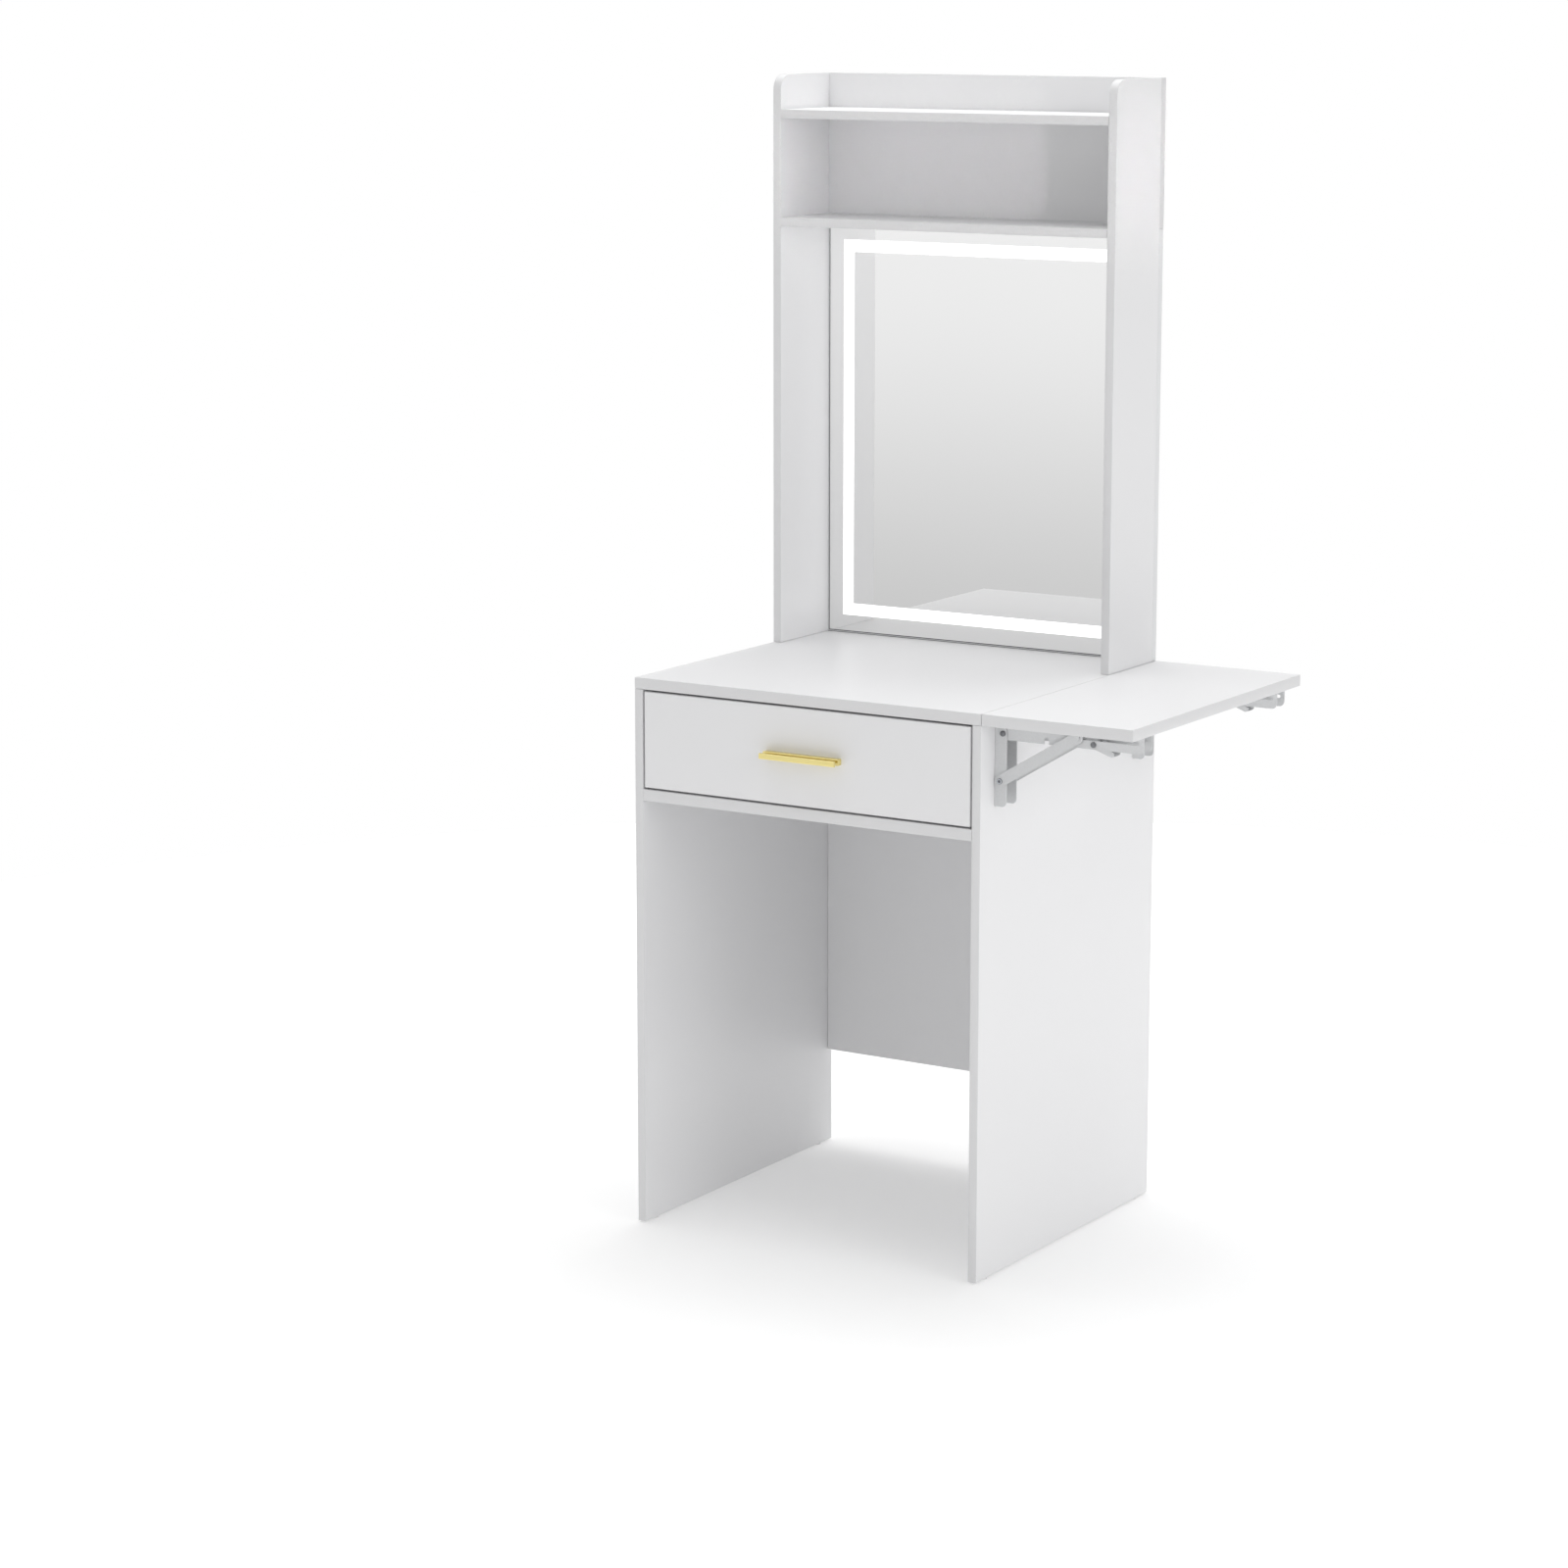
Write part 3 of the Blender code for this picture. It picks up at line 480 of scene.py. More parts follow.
low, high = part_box("drawer_front")
middle = (low.y + high.y) / 2
left, right, foot, head = low.x + DEEP, high.x - DEEP, low.z + DEEP, high.z - DEEP
corners = [(left, foot), (right, foot), (right, head), (left, head)]
front_lines = [
    [(x, middle, z) for x, z in (corners[i], corners[(i + 1) % 4])] for i in range(4)
]
band_edges("drawer_front_banding", front_lines, ALONG_Y, TOP_BOARD, "drawer")

# ---------------------------------------------------------------- Cam covers
# Press-in nylon caps over the cam locks, on the undersides of the drawer shelf and the two
# hutch shelves. Moulded smooth, they look a little waxy and scuffed beside the boards.

CAP_R = 0.0085
CAP_T = 0.0010
CAP_CROWN = 0.86  # the raised middle's radius, as a part of the cap's
SCUFF = 0.0025

nylon, tree, shader, place = new_finish("moulded white nylon", IOR=1.53, Roughness=0.45)
scuff = put(
    tree, "ShaderNodeTexNoise", inputs={"Vector": place, "Scale": 1 / SCUFF, "Detail": 4}
)
shade = put(
    tree,
    "ShaderNodeMix",
    {"data_type": "RGBA"},
    {"Factor": scuff.outputs["Fac"], "A": linear("#DCDCDB"), "B": linear("#EBEBEA")},
)
tree.links.new(shade.outputs["Result"], shader.inputs["Base Color"])


def facing_rotation(tree):
    """The rotation that points an instance's Z along the point's facing attribute."""
    toward = put(
        tree,
        "GeometryNodeInputNamedAttribute",
        {"data_type": "FLOAT_VECTOR"},
        {"Name": "facing"},
    )
    return put(
        tree,
        "FunctionNodeAlignRotationToVector",
        {"axis": "Z"},
        {"Vector": toward.outputs["Attribute"]},
    ).outputs["Rotation"]


def end_with_copies(tree, points, shape, rotation, finish):
    """Closes a tree with a copy of a shape on every point."""
    placed = put(
        tree,
        "GeometryNodeInstanceOnPoints",
        inputs={"Points": points, "Instance": shape.outputs["Mesh"], "Rotation": rotation},
    )
    end_tree(tree, placed.outputs["Instances"], finish)


tree, given = new_tree(
    "press_in_caps",
    [
        ("Radius", "NodeSocketFloat", CAP_R),
        ("Thickness", "NodeSocketFloat", CAP_T),
        ("Nylon", "NodeSocketMaterial", None),
    ],
)
disc = put(
    tree,
    "GeometryNodeMeshCylinder",
    {"fill_type": "NGON"},
    {"Vertices": 32, "Radius": given["Radius"], "Depth": given["Thickness"]},
)
rim = put(
    tree, "ShaderNodeMath", {"operation": "MULTIPLY"}, {0: given["Radius"], 1: CAP_CROWN}
)
lift = put(
    tree, "ShaderNodeMath", {"operation": "MULTIPLY"}, {0: given["Thickness"], 1: 0.5}
)
crown = put(
    tree,
    "GeometryNodeMeshCone",
    {"fill_type": "NGON"},
    {
        "Vertices": 32,
        "Radius Top": rim.outputs[0],
        "Radius Bottom": given["Radius"],
        "Depth": lift.outputs[0],
    },
)
raise_crown = put(tree, "ShaderNodeCombineXYZ", inputs={"Z": lift.outputs[0]})
crown_up = put(
    tree,
    "GeometryNodeTransform",
    inputs={"Geometry": crown.outputs["Mesh"], "Translation": raise_crown.outputs[0]},
)
cap = put(
    tree,
    "GeometryNodeMeshBoolean",
    {"operation": "UNION", "solver": "EXACT"},
    {"Mesh 2": disc.outputs["Mesh"]},
)
tree.links.new(crown_up.outputs["Geometry"], cap.inputs["Mesh 2"])
end_with_copies(tree, given["Geometry"], cap, facing_rotation(tree), given["Nylon"])

CAM_DEPTH = 0.034  # a cam lock's middle from the shelf's end
cap_points = []
for node, inset_y in (
    ("drawer_shelf", 0.060),
    ("hutch_tray_shelf", 0.030),
    ("hutch_cubby_shelf", 0.030),
):
    low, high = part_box(node)
    for x in (low.x + CAM_DEPTH, high.x - CAM_DEPTH):
        for y in (low.y + inset_y, high.y - inset_y):
            cap_points.append((x, y, low.z))
caps = grow(
    "cam_covers",
    tree,
    cap_points,
    [],
    {"Radius": CAP_R, "Thickness": CAP_T, "Nylon": nylon},
    [(0, 0, -1)] * len(cap_points),
)
add_piece("cam_covers", caps, nylon, "carcass")

# ---------------------------------------------------------------- Floor glides and dowels
# Small nylon glides under the side panels keep them off the floor. Beech dowels join the
# hutch sides to the desk top; their wood shows short brown flecks along its grain.

for side in ("left", "right"):
    refinish(nylon, f"floor_glide_{side}_front", f"floor_glide_{side}_rear")

beech, tree, shader, place = new_finish("plain beech", IOR=1.5, Roughness=0.6)
along = put(tree, "ShaderNodeMapping", inputs={"Vector": place, "Scale": (900, 900, 60)})
flecks = put(tree, "ShaderNodeTexNoise", inputs={"Vector": along.outputs[0], "Detail": 4})
wood = put(
    tree,
    "ShaderNodeMix",
    {"data_type": "RGBA"},
    {"Factor": flecks.outputs["Fac"], "A": linear("#B58A5E"), "B": linear("#D9B98C")},
)
tree.links.new(wood.outputs["Result"], shader.inputs["Base Color"])
for side in ("left", "right"):
    refinish(beech, f"hutch_dowel_{side}_front", f"hutch_dowel_{side}_rear")

# ---------------------------------------------------------------- Mirror
# Silvered float glass on a moulded tray, with a band cleared of silver and frosted near the
# edge. Light from the strip behind comes through the band. The glass also glows with a
# painted reflection, a grey that grows paler towards the head.

BAND_INSET = 0.0225
BAND_WIDTH = 0.0165
FROST_DEPTH = 0.00015
PAINTED_GLOW_FOOT, PAINTED_GLOW_HEAD = 0.75, 1.31  # the heights between which the painted glow grows

# The glass's glow is a painted reflection: grey emission over what the mirror shows, paler
# towards the head.
silver, tree, shader, place = new_finish(
    "silvered float glass", Metallic=1.0, Emission_Strength=1.0
)
ripple = put(tree, "ShaderNodeTexNoise", inputs={"Vector": place, "Scale": 6, "Detail": 3})
clarity = put(
    tree,
    "ShaderNodeMapRange",
    inputs={"Value": ripple.outputs["Fac"], "To Min": 0.0, "To Max": 0.02},
)
tint = put(
    tree,
    "ShaderNodeMix",
    {"data_type": "RGBA"},
    {"Factor": ripple.outputs["Fac"], "A": linear("#BABABA"), "B": linear("#BCBCBC")},
)
upright = put(tree, "ShaderNodeSeparateXYZ", inputs={0: place})
rise = put(
    tree,
    "ShaderNodeMapRange",
    inputs={"Value": upright.outputs["Z"], "From Min": PAINTED_GLOW_FOOT, "From Max": PAINTED_GLOW_HEAD},
)
# Painted reflection: the glow's grey, darker at the foot and paler at the head.
painted_reflection_glow = put(
    tree,
    "ShaderNodeMix",
    {"data_type": "RGBA"},
    {"Factor": rise.outputs["Result"], "A": linear("#8B8B8B"), "B": linear("#A7A7A7")},
)
tree.links.new(clarity.outputs["Result"], shader.inputs["Roughness"])
tree.links.new(tint.outputs["Result"], shader.inputs["Base Color"])
tree.links.new(painted_reflection_glow.outputs["Result"], shader.inputs["Emission Color"])
refinish(silver, "mirror_glass")


def rectangle(low, high, inset):
    """The corners of an upright rectangle set in from a node's outline, as x and z."""
    left, right = low.x + inset, high.x - inset
    foot, head = low.z + inset, high.z - inset
    return [(left, foot), (right, foot), (right, head), (left, head)]


def upright_ring(name, outer, inner, front, rear):
    """A closed flat ring between two four-cornered outlines, from y = front to y = rear."""
    mesh = bpy.data.meshes.new(name)
    points = [(x, y, z) for y in (front, rear) for x, z in outer + inner]
    faces = []
    for i in range(4):
        j = (i + 1) % 4
        faces.append((i, j, j + 4, i + 4))
        faces.append((i + 8, i + 12, j + 12, j + 8))
        faces.append((i, i + 8, j + 8, j))
        faces.append((i + 4, j + 4, j + 12, i + 12))
    mesh.from_pydata(points, [], faces)
    return mesh


# The frosting scatters the light, so the band glows evenly and no single chip shows.
glass_low, glass_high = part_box("mirror_glass")
frost, tree, shader, place = new_finish("frosted lit glass", Roughness=0.7, Emission_Strength=0.95)
cells = put(tree, "ShaderNodeTexNoise", inputs={"Vector": place, "Scale": 120, "Detail": 2})
lit = put(
    tree,
    "ShaderNodeMix",
    {"data_type": "RGBA"},
    {"Factor": cells.outputs["Fac"], "A": linear("#FDFDFD"), "B": linear("#FFFFFF")},
)
tree.links.new(lit.outputs["Result"], shader.inputs["Base Color"])
tree.links.new(lit.outputs["Result"], shader.inputs["Emission Color"])
band = upright_ring(
    "mirror_lit_band",
    rectangle(glass_low, glass_high, BAND_INSET),
    rectangle(glass_low, glass_high, BAND_INSET + BAND_WIDTH),
    glass_low.y - FROST_DEPTH,
    glass_low.y + FROST_DEPTH,
)
add_piece("mirror_lit_band", band, frost, "carcass")

# A thin dark grey strip fills the gap round the glass and shows as a dark line: painted
# shade, standing in for the shadow in that gap.
EDGE_PLAY = 0.0001
STRIP_PROUD, STRIP_DEPTH = 0.0002, 0.0030
# Painted shade: the strip's dark grey, with a fine grain, is the gap's shadow.
gap_shade_finish, tree, shader, place = new_finish("grey strip painted as gap shade", Roughness=0.9)
gap_shade_grain = put(tree, "ShaderNodeTexNoise", inputs={"Vector": place, "Scale": 1800, "Detail": 2})
gap_shade_tone = put(
    tree,
    "ShaderNodeMix",
    {"data_type": "RGBA"},
    {"Factor": gap_shade_grain.outputs["Fac"], "A": linear("#5E5E60"), "B": linear("#77777A")},
)
tree.links.new(gap_shade_tone.outputs["Result"], shader.inputs["Base Color"])
bay_low = Vector((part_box("hutch_left_side_panel")[1].x, 0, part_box("desk_top")[1].z))
bay_high = Vector((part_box("hutch_right_side_panel")[0].x, 0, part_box("hutch_cubby_shelf")[0].z))
strip = upright_ring(
    "mirror_edge_strip",
    rectangle(bay_low, bay_high, EDGE_PLAY),
    rectangle(glass_low, glass_high, -EDGE_PLAY),
    glass_low.y - STRIP_PROUD,
    glass_low.y + STRIP_DEPTH,
)
add_piece("mirror_edge_strip", strip, gap_shade_finish, "carcass")

# The diffuser behind the band is cast acrylic, milky all through, and glows without a grain.
opal, tree, shader, place = new_finish(
    "opal acrylic", IOR=1.49, Roughness=0.5, Emission_Strength=0.8
)
milk = put(tree, "ShaderNodeTexNoise", inputs={"Vector": place, "Scale": 60})
white = put(
    tree,
    "ShaderNodeMix",
    {"data_type": "RGBA"},
    {"Factor": milk.outputs["Fac"], "A": linear("#F6F6F4"), "B": linear("#FCFCFB")},
)
tree.links.new(white.outputs["Result"], shader.inputs["Base Color"])
tree.links.new(white.outputs["Result"], shader.inputs["Emission Color"])
refinish(opal, "light_diffuser")

CHIP_PITCH = 0.0083  # one yellow phosphor chip on every 8.3 mm of tape
tape, tree, shader, place = new_finish("white LED tape", Roughness=0.5, Emission_Strength=1.0)
chips = put(
    tree,
    "ShaderNodeTexVoronoi",
    {"voronoi_dimensions": "3D"},
    {"Vector": place, "Scale": 1 / CHIP_PITCH, "Randomness": 0.0},
)
chip = put(
    tree,
    "ShaderNodeMapRange",
    inputs={"Value": chips.outputs["Distance"], "From Min": 0.25, "From Max": 0.3},
)
phosphor = put(
    tree,
    "ShaderNodeMix",
    {"data_type": "RGBA"},
    {"Factor": chip.outputs["Result"], "A": linear("#FFF3B8"), "B": linear("#F2F2EE")},
)
tree.links.new(phosphor.outputs["Result"], shader.inputs["Base Color"])
tree.links.new(phosphor.outputs["Result"], shader.inputs["Emission Color"])
refinish(tape, "led_strip")

# The touch switch's board is green lacquer over etched copper, which shows as a fine net.
TRACK = 0.0020
solder_mask, tree, shader, place = new_finish("glass-fibre circuit board", Roughness=0.35)
tracks = put(
    tree,
    "ShaderNodeTexVoronoi",
    {"distance": "MANHATTAN"},
    {"Vector": place, "Scale": 1 / TRACK},
)
lacquer = put(
    tree,
    "ShaderNodeMix",
    {"data_type": "RGBA"},
    {"Factor": tracks.outputs["Distance"], "A": linear("#145A32"), "B": linear("#1E7A45")},
)
tree.links.new(lacquer.outputs["Result"], shader.inputs["Base Color"])
refinish(solder_mask, "touch_switch_board")

# The socket is moulded in a spark-eroded tool: black, with a dull grain under a millimetre.
black_nylon, tree, shader, place = new_finish(
    "moulded black nylon", IOR=1.53, Roughness=0.5, Base_Color=linear("#1C1C1E")
)
spark = put(tree, "ShaderNodeTexNoise", inputs={"Vector": place, "Scale": 1500, "Detail": 2})
relief = put(
    tree,
    "ShaderNodeBump",
    inputs={"Height": spark.outputs["Fac"], "Strength": 0.3, "Distance": 0.00005},
)
tree.links.new(relief.outputs["Normal"], shader.inputs["Normal"])
refinish(black_nylon, "power_socket")

# The tray is injection-moulded ABS, spark-textured, so its back looks dull beside the boards.
# Its grain is about a millimetre, and slow flow marks some 200 mm long tint it.
FLOW_MARK = 0.20
abs_white, tree, shader, place = new_finish("moulded white ABS", IOR=1.54, Roughness=0.55)
spark = put(tree, "ShaderNodeTexNoise", inputs={"Vector": place, "Scale": 900, "Detail": 3})
relief = put(
    tree,
    "ShaderNodeBump",
    inputs={"Height": spark.outputs["Fac"], "Strength": 0.25, "Distance": 0.00008},
)
flow = put(
    tree, "ShaderNodeTexNoise", inputs={"Vector": place, "Scale": 1 / FLOW_MARK, "Detail": 2}
)
resin = put(
    tree,
    "ShaderNodeMix",
    {"data_type": "RGBA"},
    {"Factor": flow.outputs["Fac"], "A": linear("#E2E3E4"), "B": linear("#E7E8E9")},
)
tree.links.new(resin.outputs["Result"], shader.inputs["Base Color"])
tree.links.new(relief.outputs["Normal"], shader.inputs["Normal"])
refinish(abs_white, "mirror_housing")

# ---------------------------------------------------------------- Drawer box
# Thin board wrapped in a matt white paper foil with a faint linen print. The bottom slides
# into grooves in the sides and front, and runs under the back.

LINEN_THREAD = 0.0012  # a thread and the gap beside it are each this wide
WAVE_BANDS = 3.2  # to the metre, at scale 1

foil, tree, shader, place = new_finish("foil-wrapped drawer board", IOR=1.48, Roughness=0.58)
threads = []
for direction in ("X", "Y", "Z"):
    thread = put(
        tree,
        "ShaderNodeTexWave",
        {"bands_direction": direction},
        {
            "Vector": place,
            "Scale": 0.5 / LINEN_THREAD / WAVE_BANDS,
            "Distortion": 1.5,
            "Detail": 2,
        },
    )
    threads.append(thread.outputs["Fac"])
cross = put(tree, "ShaderNodeMath", {"operation": "MAXIMUM"}, {0: threads[0], 1: threads[1]})
cross = put(tree, "ShaderNodeMath", {"operation": "MAXIMUM"}, {0: cross.outputs[0], 1: threads[2]})
relief = put(
    tree,
    "ShaderNodeBump",
    inputs={"Height": cross.outputs[0], "Strength": 0.12, "Distance": 0.00006},
)
print_tone = put(
    tree,
    "ShaderNodeMix",
    {"data_type": "RGBA"},
    {"Factor": cross.outputs[0], "A": linear("#E0E0DF"), "B": linear("#E8E8E7")},
)
tree.links.new(print_tone.outputs["Result"], shader.inputs["Base Color"])
tree.links.new(relief.outputs["Normal"], shader.inputs["Normal"])
refinish(foil, "drawer_left_side", "drawer_right_side", "drawer_back", "drawer_bottom")

# ---------------------------------------------------------------- Drawer pull
# An aluminium extrusion, brushed along its length, sawn off and anodised gold. The brushing
# draws the light out into long streaks. Two screws from inside the drawer hold it.

BRUSH_LENGTH = 0.06
BRUSH_WIDTH = 0.0005

gold, tree, shader, place = new_finish("gold anodised aluminium", Metallic=1.0)
along = put(
    tree,
    "ShaderNodeMapping",
    inputs={"Vector": place, "Scale": (1 / BRUSH_LENGTH, 1 / BRUSH_WIDTH, 1 / BRUSH_WIDTH)},
)
brushing = put(tree, "ShaderNodeTexNoise", inputs={"Vector": along.outputs[0], "Detail": 5})
dye = put(
    tree,
    "ShaderNodeMix",
    {"data_type": "RGBA"},
    {"Factor": brushing.outputs["Fac"], "A": linear("#EBD884"), "B": linear("#F8ECAE")},
)
satin = put(
    tree,
    "ShaderNodeMapRange",
    inputs={"Value": brushing.outputs["Fac"], "To Min": 0.24, "To Max": 0.40},
)
relief = put(
    tree,
    "ShaderNodeBump",
    inputs={"Height": brushing.outputs["Fac"], "Strength": 0.2, "Distance": 0.00008},
)
tree.links.new(dye.outputs["Result"], shader.inputs["Base Color"])
tree.links.new(satin.outputs["Result"], shader.inputs["Roughness"])
tree.links.new(relief.outputs["Normal"], shader.inputs["Normal"])
refinish(gold, "drawer_pull")

# ---------------------------------------------------------------- Drawer slides
# Roll-formed zinc-plated steel in three members: one on the desk's side, one on the drawer's
# and one that runs between. Rolling leaves fine lines along it, and the zinc is cloudy, with
# a faint blue cast.

DRAW_LINE = 0.0009
CLOUD_SCALE = 45  # clouds about 22 mm across

zinc, tree, shader, place = new_finish("zinc-plated steel", Metallic=1.0)
along = put(
    tree, "ShaderNodeMapping", inputs={"Vector": place, "Scale": (1 / DRAW_LINE, 12, 1 / DRAW_LINE)}
)
drawn = put(tree, "ShaderNodeTexNoise", inputs={"Vector": along.outputs[0], "Detail": 4})
cloud = put(
    tree, "ShaderNodeTexNoise", inputs={"Vector": place, "Scale": CLOUD_SCALE, "Detail": 3}
)
plate_tone = put(
    tree,
    "ShaderNodeMix",
    {"data_type": "RGBA"},
    {"Factor": cloud.outputs["Fac"], "A": linear("#B9BDC4"), "B": linear("#CFD2D6")},
)
plate_gloss = put(
    tree,
    "ShaderNodeMapRange",
    inputs={"Value": drawn.outputs["Fac"], "To Min": 0.24, "To Max": 0.42},
)
tree.links.new(plate_tone.outputs["Result"], shader.inputs["Base Color"])
tree.links.new(plate_gloss.outputs["Result"], shader.inputs["Roughness"])
for side in ("left", "right"):
    refinish(zinc, *[f"slide_{member}_member_{side}" for member in ("cabinet", "middle", "drawer")])
refinish(zinc, "pull_screw_left", "pull_screw_right")

# ---------------------------------------------------------------- Leaf brackets
# Pressed steel, powder-coated white: an even film with a slight orange peel. Each has a
# channel on the side panel, an arm under the leaf, two brace bars and a release lever.

PEEL = 0.0022

powder, tree, shader, place = new_finish("white powder-coated steel", IOR=1.5, Roughness=0.38)
peel = put(tree, "ShaderNodeTexNoise", inputs={"Vector": place, "Scale": 1 / PEEL, "Detail": 1})
relief = put(
    tree,
    "ShaderNodeBump",
    inputs={"Height": peel.outputs["Fac"], "Strength": 0.25, "Distance": 0.0001},
)
coat = put(
    tree,
    "ShaderNodeMix",
    {"data_type": "RGBA"},
    {"Factor": peel.outputs["Fac"], "A": linear("#CDCECF"), "B": linear("#D6D7D8")},
)
tree.links.new(coat.outputs["Result"], shader.inputs["Base Color"])
tree.links.new(relief.outputs["Normal"], shader.inputs["Normal"])

# The pins are bare steel, burnished dark. The small slot rivets are coated with the bars.
burnished, tree, shader, place = new_finish("burnished steel", Metallic=1.0, Roughness=0.36)
patina = put(tree, "ShaderNodeTexNoise", inputs={"Vector": place, "Scale": 700, "Detail": 3})
steel = put(
    tree,
    "ShaderNodeMix",
    {"data_type": "RGBA"},
    {"Factor": patina.outputs["Fac"], "A": linear("#6E6F72"), "B": linear("#8C8D90")},
)
tree.links.new(steel.outputs["Result"], shader.inputs["Base Color"])
for end in ("front", "rear"):
    refinish(
        powder,
        f"bracket_wall_channel_{end}",
        f"bracket_shelf_arm_{end}",
        f"bracket_release_lever_{end}",
        f"bracket_brace_bar_{end}_front",
        f"bracket_brace_bar_{end}_rear",
        f"bracket_slot_rivet_{end}_front",
        f"bracket_slot_rivet_{end}_rear",
    )
    refinish(
        burnished,
        *[f"bracket_{kind}_pin_{end}" for kind in ("hinge", "brace", "lever")],
    )

# ---------------------------------------------------------------- Rivet heads
# The hinge and lever pins are peened over to low domes. The brace pin is a tube rolled over
# at both ends, so it shows a bright ring round a dark hole.

DOME_R, DOME_RISE = 0.0034, 0.0009
ROLLED_RIM_R, ROLL_R = 0.0027, 0.0008
HEAD_SUNK = 0.0001  # a head's flat underside sits this far into what it is on


def domed_head(tree, radius, rise):
    """A low dome, flat underneath."""
    ball = put(
        tree, "GeometryNodeMeshUVSphere", inputs={"Segments": 24, "Rings": 16, "Radius": 1.0}
    )
    spread = put(tree, "ShaderNodeCombineXYZ", inputs={"X": radius, "Y": radius, "Z": rise})
    lens_shape = put(
        tree,
        "GeometryNodeTransform",
        inputs={"Geometry": ball.outputs["Mesh"], "Scale": spread.outputs[0]},
    )
    wide, deep = 0.02, 0.01  # the block that takes off the lower half
    below = put(tree, "GeometryNodeMeshCube", inputs={"Size": (wide, wide, deep)})
    below_down = put(
        tree,
        "GeometryNodeTransform",
        inputs={
            "Geometry": below.outputs["Mesh"],
            "Translation": (0, 0, -deep / 2 - HEAD_SUNK),
        },
    )
    return put(
        tree,
        "GeometryNodeMeshBoolean",
        {"operation": "DIFFERENCE", "solver": "EXACT"},
        {"Mesh 1": lens_shape.outputs["Geometry"], "Mesh 2": below_down.outputs["Geometry"]},
    )


tree, given = new_tree(
    "peened_heads",
    [
        ("Head radius", "NodeSocketFloat", DOME_R),
        ("Rise", "NodeSocketFloat", DOME_RISE),
        ("Steel", "NodeSocketMaterial", None),
    ],
)
dome = domed_head(tree, given["Head radius"], given["Rise"])
end_with_copies(tree, given["Geometry"], dome, facing_rotation(tree), given["Steel"])
dome_tree = tree

tree, given = new_tree(
    "rolled_rims",
    [
        ("Rim radius", "NodeSocketFloat", ROLLED_RIM_R),
        ("Roll radius", "NodeSocketFloat", ROLL_R),
        ("Steel", "NodeSocketMaterial", None),
    ],
)
rim = put(
    tree,
    "GeometryNodeCurvePrimitiveCircle",
    inputs={"Resolution": 32, "Radius": given["Rim radius"]},
)
roll = put(
    tree,
    "GeometryNodeCurvePrimitiveCircle",
    inputs={"Resolution": 12, "Radius": given["Roll radius"]},
)
ring = put(
    tree,
    "GeometryNodeCurveToMesh",
    inputs={"Curve": rim.outputs["Curve"], "Profile Curve": roll.outputs["Curve"]},
)
end_with_copies(tree, given["Geometry"], ring, facing_rotation(tree), given["Steel"])
rolled_tree = tree


def pin_ends(kind):
    """The middles of both end faces of a kind of pin, on both brackets, and where they face."""
    spots, toward = [], []
    for end in ("front", "rear"):
        low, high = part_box(f"bracket_{kind}_pin_{end}")
        for y, out in ((low.y, -1), (high.y, 1)):
            spots.append(((low.x + high.x) / 2, y, (low.z + high.z) / 2))
            toward.append((0, out, 0))
    return spots, toward


for kind, body in (("hinge", "carcass"), ("lever", "leaf")):
    spots, toward = pin_ends(kind)
    sizes = {"Head radius": DOME_R, "Rise": DOME_RISE, "Steel": burnished}
    heads = grow(f"{kind}_pin_domes", dome_tree, spots, [], sizes, toward)
    add_piece(f"{kind}_pin_domes", heads, burnished, body)

spots, toward = pin_ends("brace")
sizes = {"Rim radius": ROLLED_RIM_R, "Roll radius": ROLL_R, "Steel": zinc}
rims = grow("brace_pin_rims", rolled_tree, spots, [], sizes, toward)
add_piece("brace_pin_rims", rims, zinc, "carcass")

# ---------------------------------------------------------------- Screws
# Zinc-plated pan-head chipboard screws with a cross recess hold the channels to the side
# panel, the arms to the leaf, the slides to the drawer, and the hutch back and the mirror
# tray to the hutch. Each was driven until tight, so its cross stands at any angle.

SCREW_HEAD_R, SCREW_HEAD_H = 0.0038, 0.0020
REAR_HEAD_R, REAR_HEAD_H = 0.0036, 0.0012
SLIDE_HEAD_R, SLIDE_HEAD_H = 0.0036, 0.0018
RECESS_LONG, RECESS_THIN = 1.15, 0.26  # the cross's arms, as parts of the head's radius
SCREW_SEED = 7

tree, given = new_tree(
    "cross_head_screws",
    [
        ("Head radius", "NodeSocketFloat", SCREW_HEAD_R),
        ("Head height", "NodeSocketFloat", SCREW_HEAD_H),
        ("Turn seed", "NodeSocketInt", SCREW_SEED),
        ("Zinc", "NodeSocketMaterial", None),
    ],
)
head = domed_head(tree, given["Head radius"], given["Head height"])
long_way, thin_way = [
    put(tree, "ShaderNodeMath", {"operation": "MULTIPLY"}, {0: given["Head radius"], 1: part})
    for part in (RECESS_LONG, RECESS_THIN)
]
top_at = put(tree, "ShaderNodeCombineXYZ", inputs={"Z": given["Head height"]})
for x_size, y_size in ((long_way, thin_way), (thin_way, long_way)):
    arm_size = put(
        tree,
        "ShaderNodeCombineXYZ",
        inputs={"X": x_size.outputs[0], "Y": y_size.outputs[0], "Z": given["Head height"]},
    )
    arm = put(tree, "GeometryNodeMeshCube", inputs={"Size": arm_size.outputs[0]})
    cutter = put(
        tree,
        "GeometryNodeTransform",
        inputs={"Geometry": arm.outputs["Mesh"], "Translation": top_at.outputs[0]},
    )
    tree.links.new(cutter.outputs["Geometry"], head.inputs["Mesh 2"])
turn = put(
    tree,
    "FunctionNodeRandomValue",
    {"data_type": "FLOAT"},
    {"Min": 0.0, "Max": math.pi / 2, "Seed": given["Turn seed"]},
)
angle = [item for item in turn.outputs if item.enabled][0]
about = put(tree, "ShaderNodeCombineXYZ", inputs={"Z": angle})
spun = put(tree, "FunctionNodeEulerToRotation", inputs={0: about.outputs[0]})
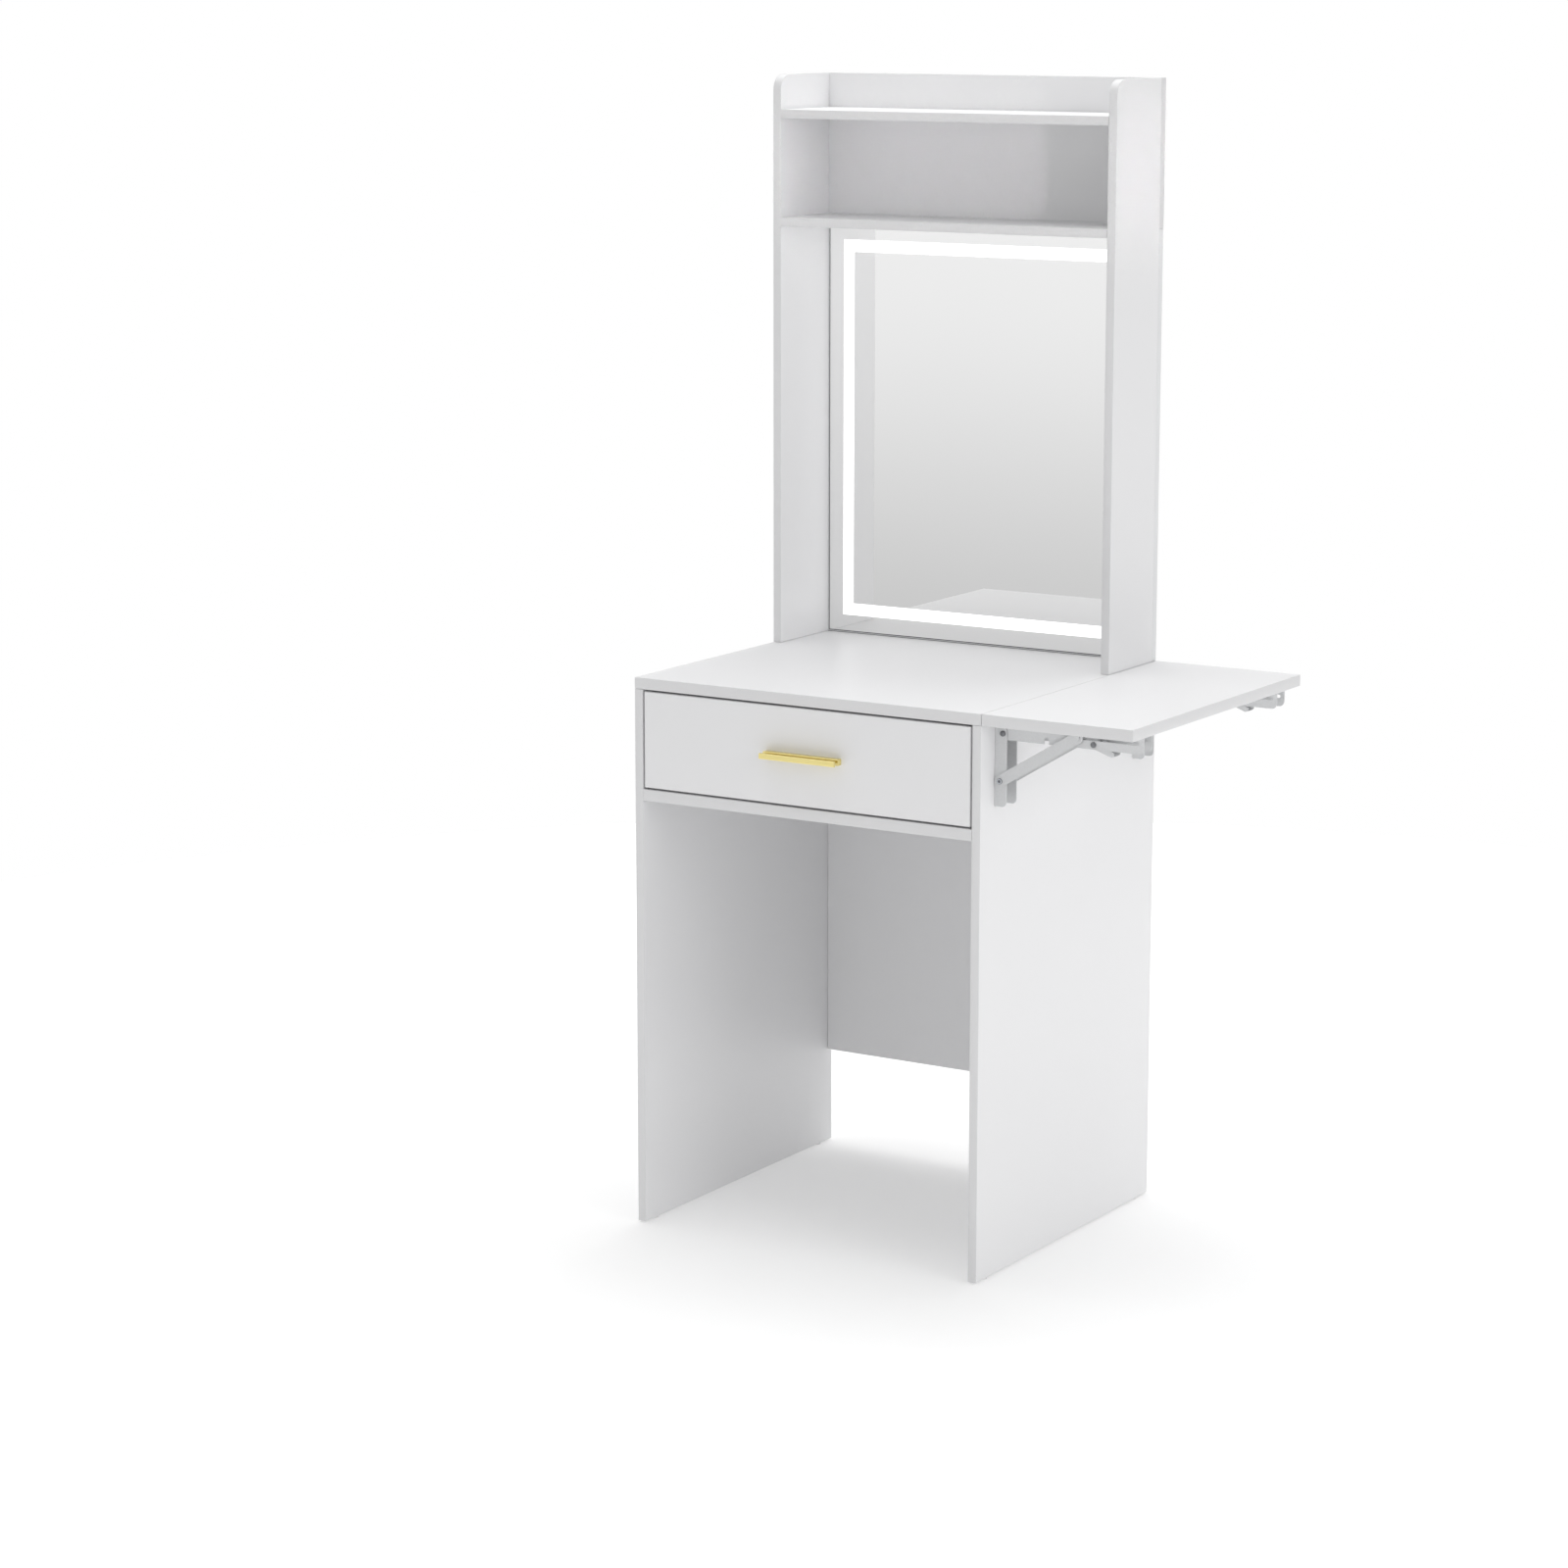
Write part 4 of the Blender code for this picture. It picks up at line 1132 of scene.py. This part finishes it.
aim = put(
    tree,
    "FunctionNodeRotateRotation",
    {"rotation_space": "LOCAL"},
    {"Rotation": facing_rotation(tree), "Rotate By": spun.outputs[0]},
)
end_with_copies(tree, given["Geometry"], head, aim.outputs[0], given["Zinc"])
screw_tree = tree


def drive_screws(name, spots, toward, body, radius=SCREW_HEAD_R, height=SCREW_HEAD_H):
    """Screw heads at these spots, all facing one way."""
    sizes = {
        "Head radius": radius,
        "Head height": height,
        "Turn seed": SCREW_SEED,
        "Zinc": zinc,
    }
    mesh = grow(name, screw_tree, spots, [], sizes, [toward] * len(spots))
    return add_piece(name, mesh, zinc, body)


WEB_FACE = 0.0015  # the pressed sheet's thickness
BELOW_PIN = (0.022, 0.046, 0.078)  # screws down a channel, from the hinge pin
BESIDE_PIN = (0.035, 0.095, 0.165)  # screws along an arm, from the hinge pin
channel_spots, arm_spots = [], []
for end in ("front", "rear"):
    low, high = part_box(f"bracket_wall_channel_{end}")
    pin_low, pin_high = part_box(f"bracket_hinge_pin_{end}")
    middle = (low.y + high.y) / 2
    hinge_x, hinge_z = (pin_low.x + pin_high.x) / 2, (pin_low.z + pin_high.z) / 2
    for down in BELOW_PIN:
        channel_spots.append((low.x + WEB_FACE, middle, hinge_z - down))
    arm_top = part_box(f"bracket_shelf_arm_{end}")[1].z
    for along in BESIDE_PIN:
        arm_spots.append((hinge_x + along, middle, arm_top - WEB_FACE))
drive_screws("channel_screws", channel_spots, (1, 0, 0), "carcass")
drive_screws("arm_screws", arm_spots, (0, 0, -1), "leaf")

FROM_EDGE, FROM_END = 0.006, 0.025  # a rear screw's place in its board
TRAY_SCREWS = (0.80, 0.97, 1.14, 1.29)  # heights up the mirror tray's edges
low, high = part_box("hutch_back_board")
housing_low, housing_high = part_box("mirror_housing")
rear_spots = []
for x in (low.x + FROM_EDGE, high.x - FROM_EDGE):
    for z in (low.z + FROM_END, (low.z + high.z) / 2, high.z - FROM_END):
        rear_spots.append((x, high.y, z))
    for z in TRAY_SCREWS:
        rear_spots.append((x, housing_high.y, z))
shelf_low, shelf_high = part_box("hutch_tray_shelf")
for part in (0.2, 0.5, 0.8):
    along = shelf_low.x + (shelf_high.x - shelf_low.x) * part
    rear_spots.append((along, high.y, (shelf_low.z + shelf_high.z) / 2))
drive_screws("rear_screws", rear_spots, (0, 1, 0), "carcass", REAR_HEAD_R, REAR_HEAD_H)

SLIDE_SHEET = 0.0012
for side, out in (("left", -1), ("right", 1)):
    low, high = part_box(f"slide_drawer_member_{side}")
    web = (high.x - SLIDE_SHEET) if out < 0 else (low.x + SLIDE_SHEET)
    slide_spots = [
        (web, low.y + (high.y - low.y) * part, (low.z + high.z) / 2) for part in (0.1, 0.5, 0.9)
    ]
    drive_screws(
        f"slide_screws_{side}", slide_spots, (out, 0, 0), "drawer", SLIDE_HEAD_R, SLIDE_HEAD_H
    )

# ---------------------------------------------------------------- Mirror tray back
# The tray's back is stiffened by low moulded ribs, has two rows of short hooded vents for the
# light strip's warmth, and a raised bezel round its power socket.

RIB_W, RIB_RISE = 0.0030, 0.0010
RIB_INSET = 0.024
RIB_BAYS = 4
RIB_EDGE = 0.0004
VENT_W, VENT_DEPTH, VENT_LENGTH = 0.0034, 0.0012, 0.016
VENT_COUNT = 16
VENT_PITCH = 0.0096
VENT_INSET = 0.030  # from the outermost rib to the middle of a row
BEZEL_OUT, BEZEL_GAP = 0.0022, 0.0004
BEZEL_SUNK, BEZEL_RISE = 0.0002, 0.0008
CONTACT_R, CONTACT_WIRE = 0.0024, 0.0004

tree, given = new_tree(
    "moulded_ribs",
    [
        ("Rib width", "NodeSocketFloat", RIB_W),
        ("Rib depth", "NodeSocketFloat", 2 * RIB_RISE),
        ("Soft edge", "NodeSocketFloat", RIB_EDGE),
        ("Resin", "NodeSocketMaterial", None),
    ],
)
swept = sweep_bar(
    tree,
    given["Geometry"],
    ALONG_Y,
    (given["Rib depth"], given["Rib width"]),
    given["Soft edge"],
    2,
)
end_tree(tree, swept, given["Resin"])

back = housing_high.y
left, right = housing_low.x + RIB_INSET, housing_high.x - RIB_INSET
foot, head = housing_low.z + RIB_INSET, housing_high.z - RIB_INSET
lines = [[(x, foot), (x, head)] for x in (left, right)]
lines += [[(left, z), (right, z)] for z in (foot, head)]
for i in range(1, RIB_BAYS):
    across = left + (right - left) * i / RIB_BAYS
    lines.append([(across, foot), (across, head)])
    up = foot + (head - foot) * i / RIB_BAYS
    lines.append([(left, up), (right, up)])
points = [(x, back, z) for line in lines for x, z in line]
edges = [(2 * i, 2 * i + 1) for i in range(len(lines))]
ribs = grow("housing_ribs", tree, points, edges, {"Rib width": RIB_W, "Resin": abs_white})
add_piece("housing_ribs", ribs, abs_white, "carcass")

points = []
for row_z in (foot + VENT_INSET, head - VENT_INSET):
    for i in range(VENT_COUNT):
        middle_x = (left + right) / 2 + (i - (VENT_COUNT - 1) / 2) * VENT_PITCH
        points.append((middle_x, back, row_z - VENT_LENGTH / 2))
        points.append((middle_x, back, row_z + VENT_LENGTH / 2))
edges = [(i, i + 1) for i in range(0, len(points), 2)]
sizes = {"Rib width": VENT_W, "Rib depth": VENT_DEPTH, "Resin": black_nylon}
vents = grow("housing_vents", tree, points, edges, sizes)
add_piece("housing_vents", vents, black_nylon, "carcass")

socket_low, socket_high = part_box("power_socket")
bezel = upright_ring(
    "socket_bezel",
    rectangle(socket_low, socket_high, -BEZEL_OUT),
    rectangle(socket_low, socket_high, -BEZEL_GAP),
    back - BEZEL_SUNK,
    back + BEZEL_RISE,
)
add_piece("socket_bezel", bezel, abs_white, "carcass")
spot = (
    (socket_low.x + socket_high.x) / 2,
    socket_high.y,
    (socket_low.z + socket_high.z) / 2,
)
sizes = {"Rim radius": CONTACT_R, "Roll radius": CONTACT_WIRE, "Steel": zinc}
contact = grow("socket_contact", rolled_tree, [spot], [], sizes, [ALONG_Y])
add_piece("socket_contact", contact, zinc, "carcass")
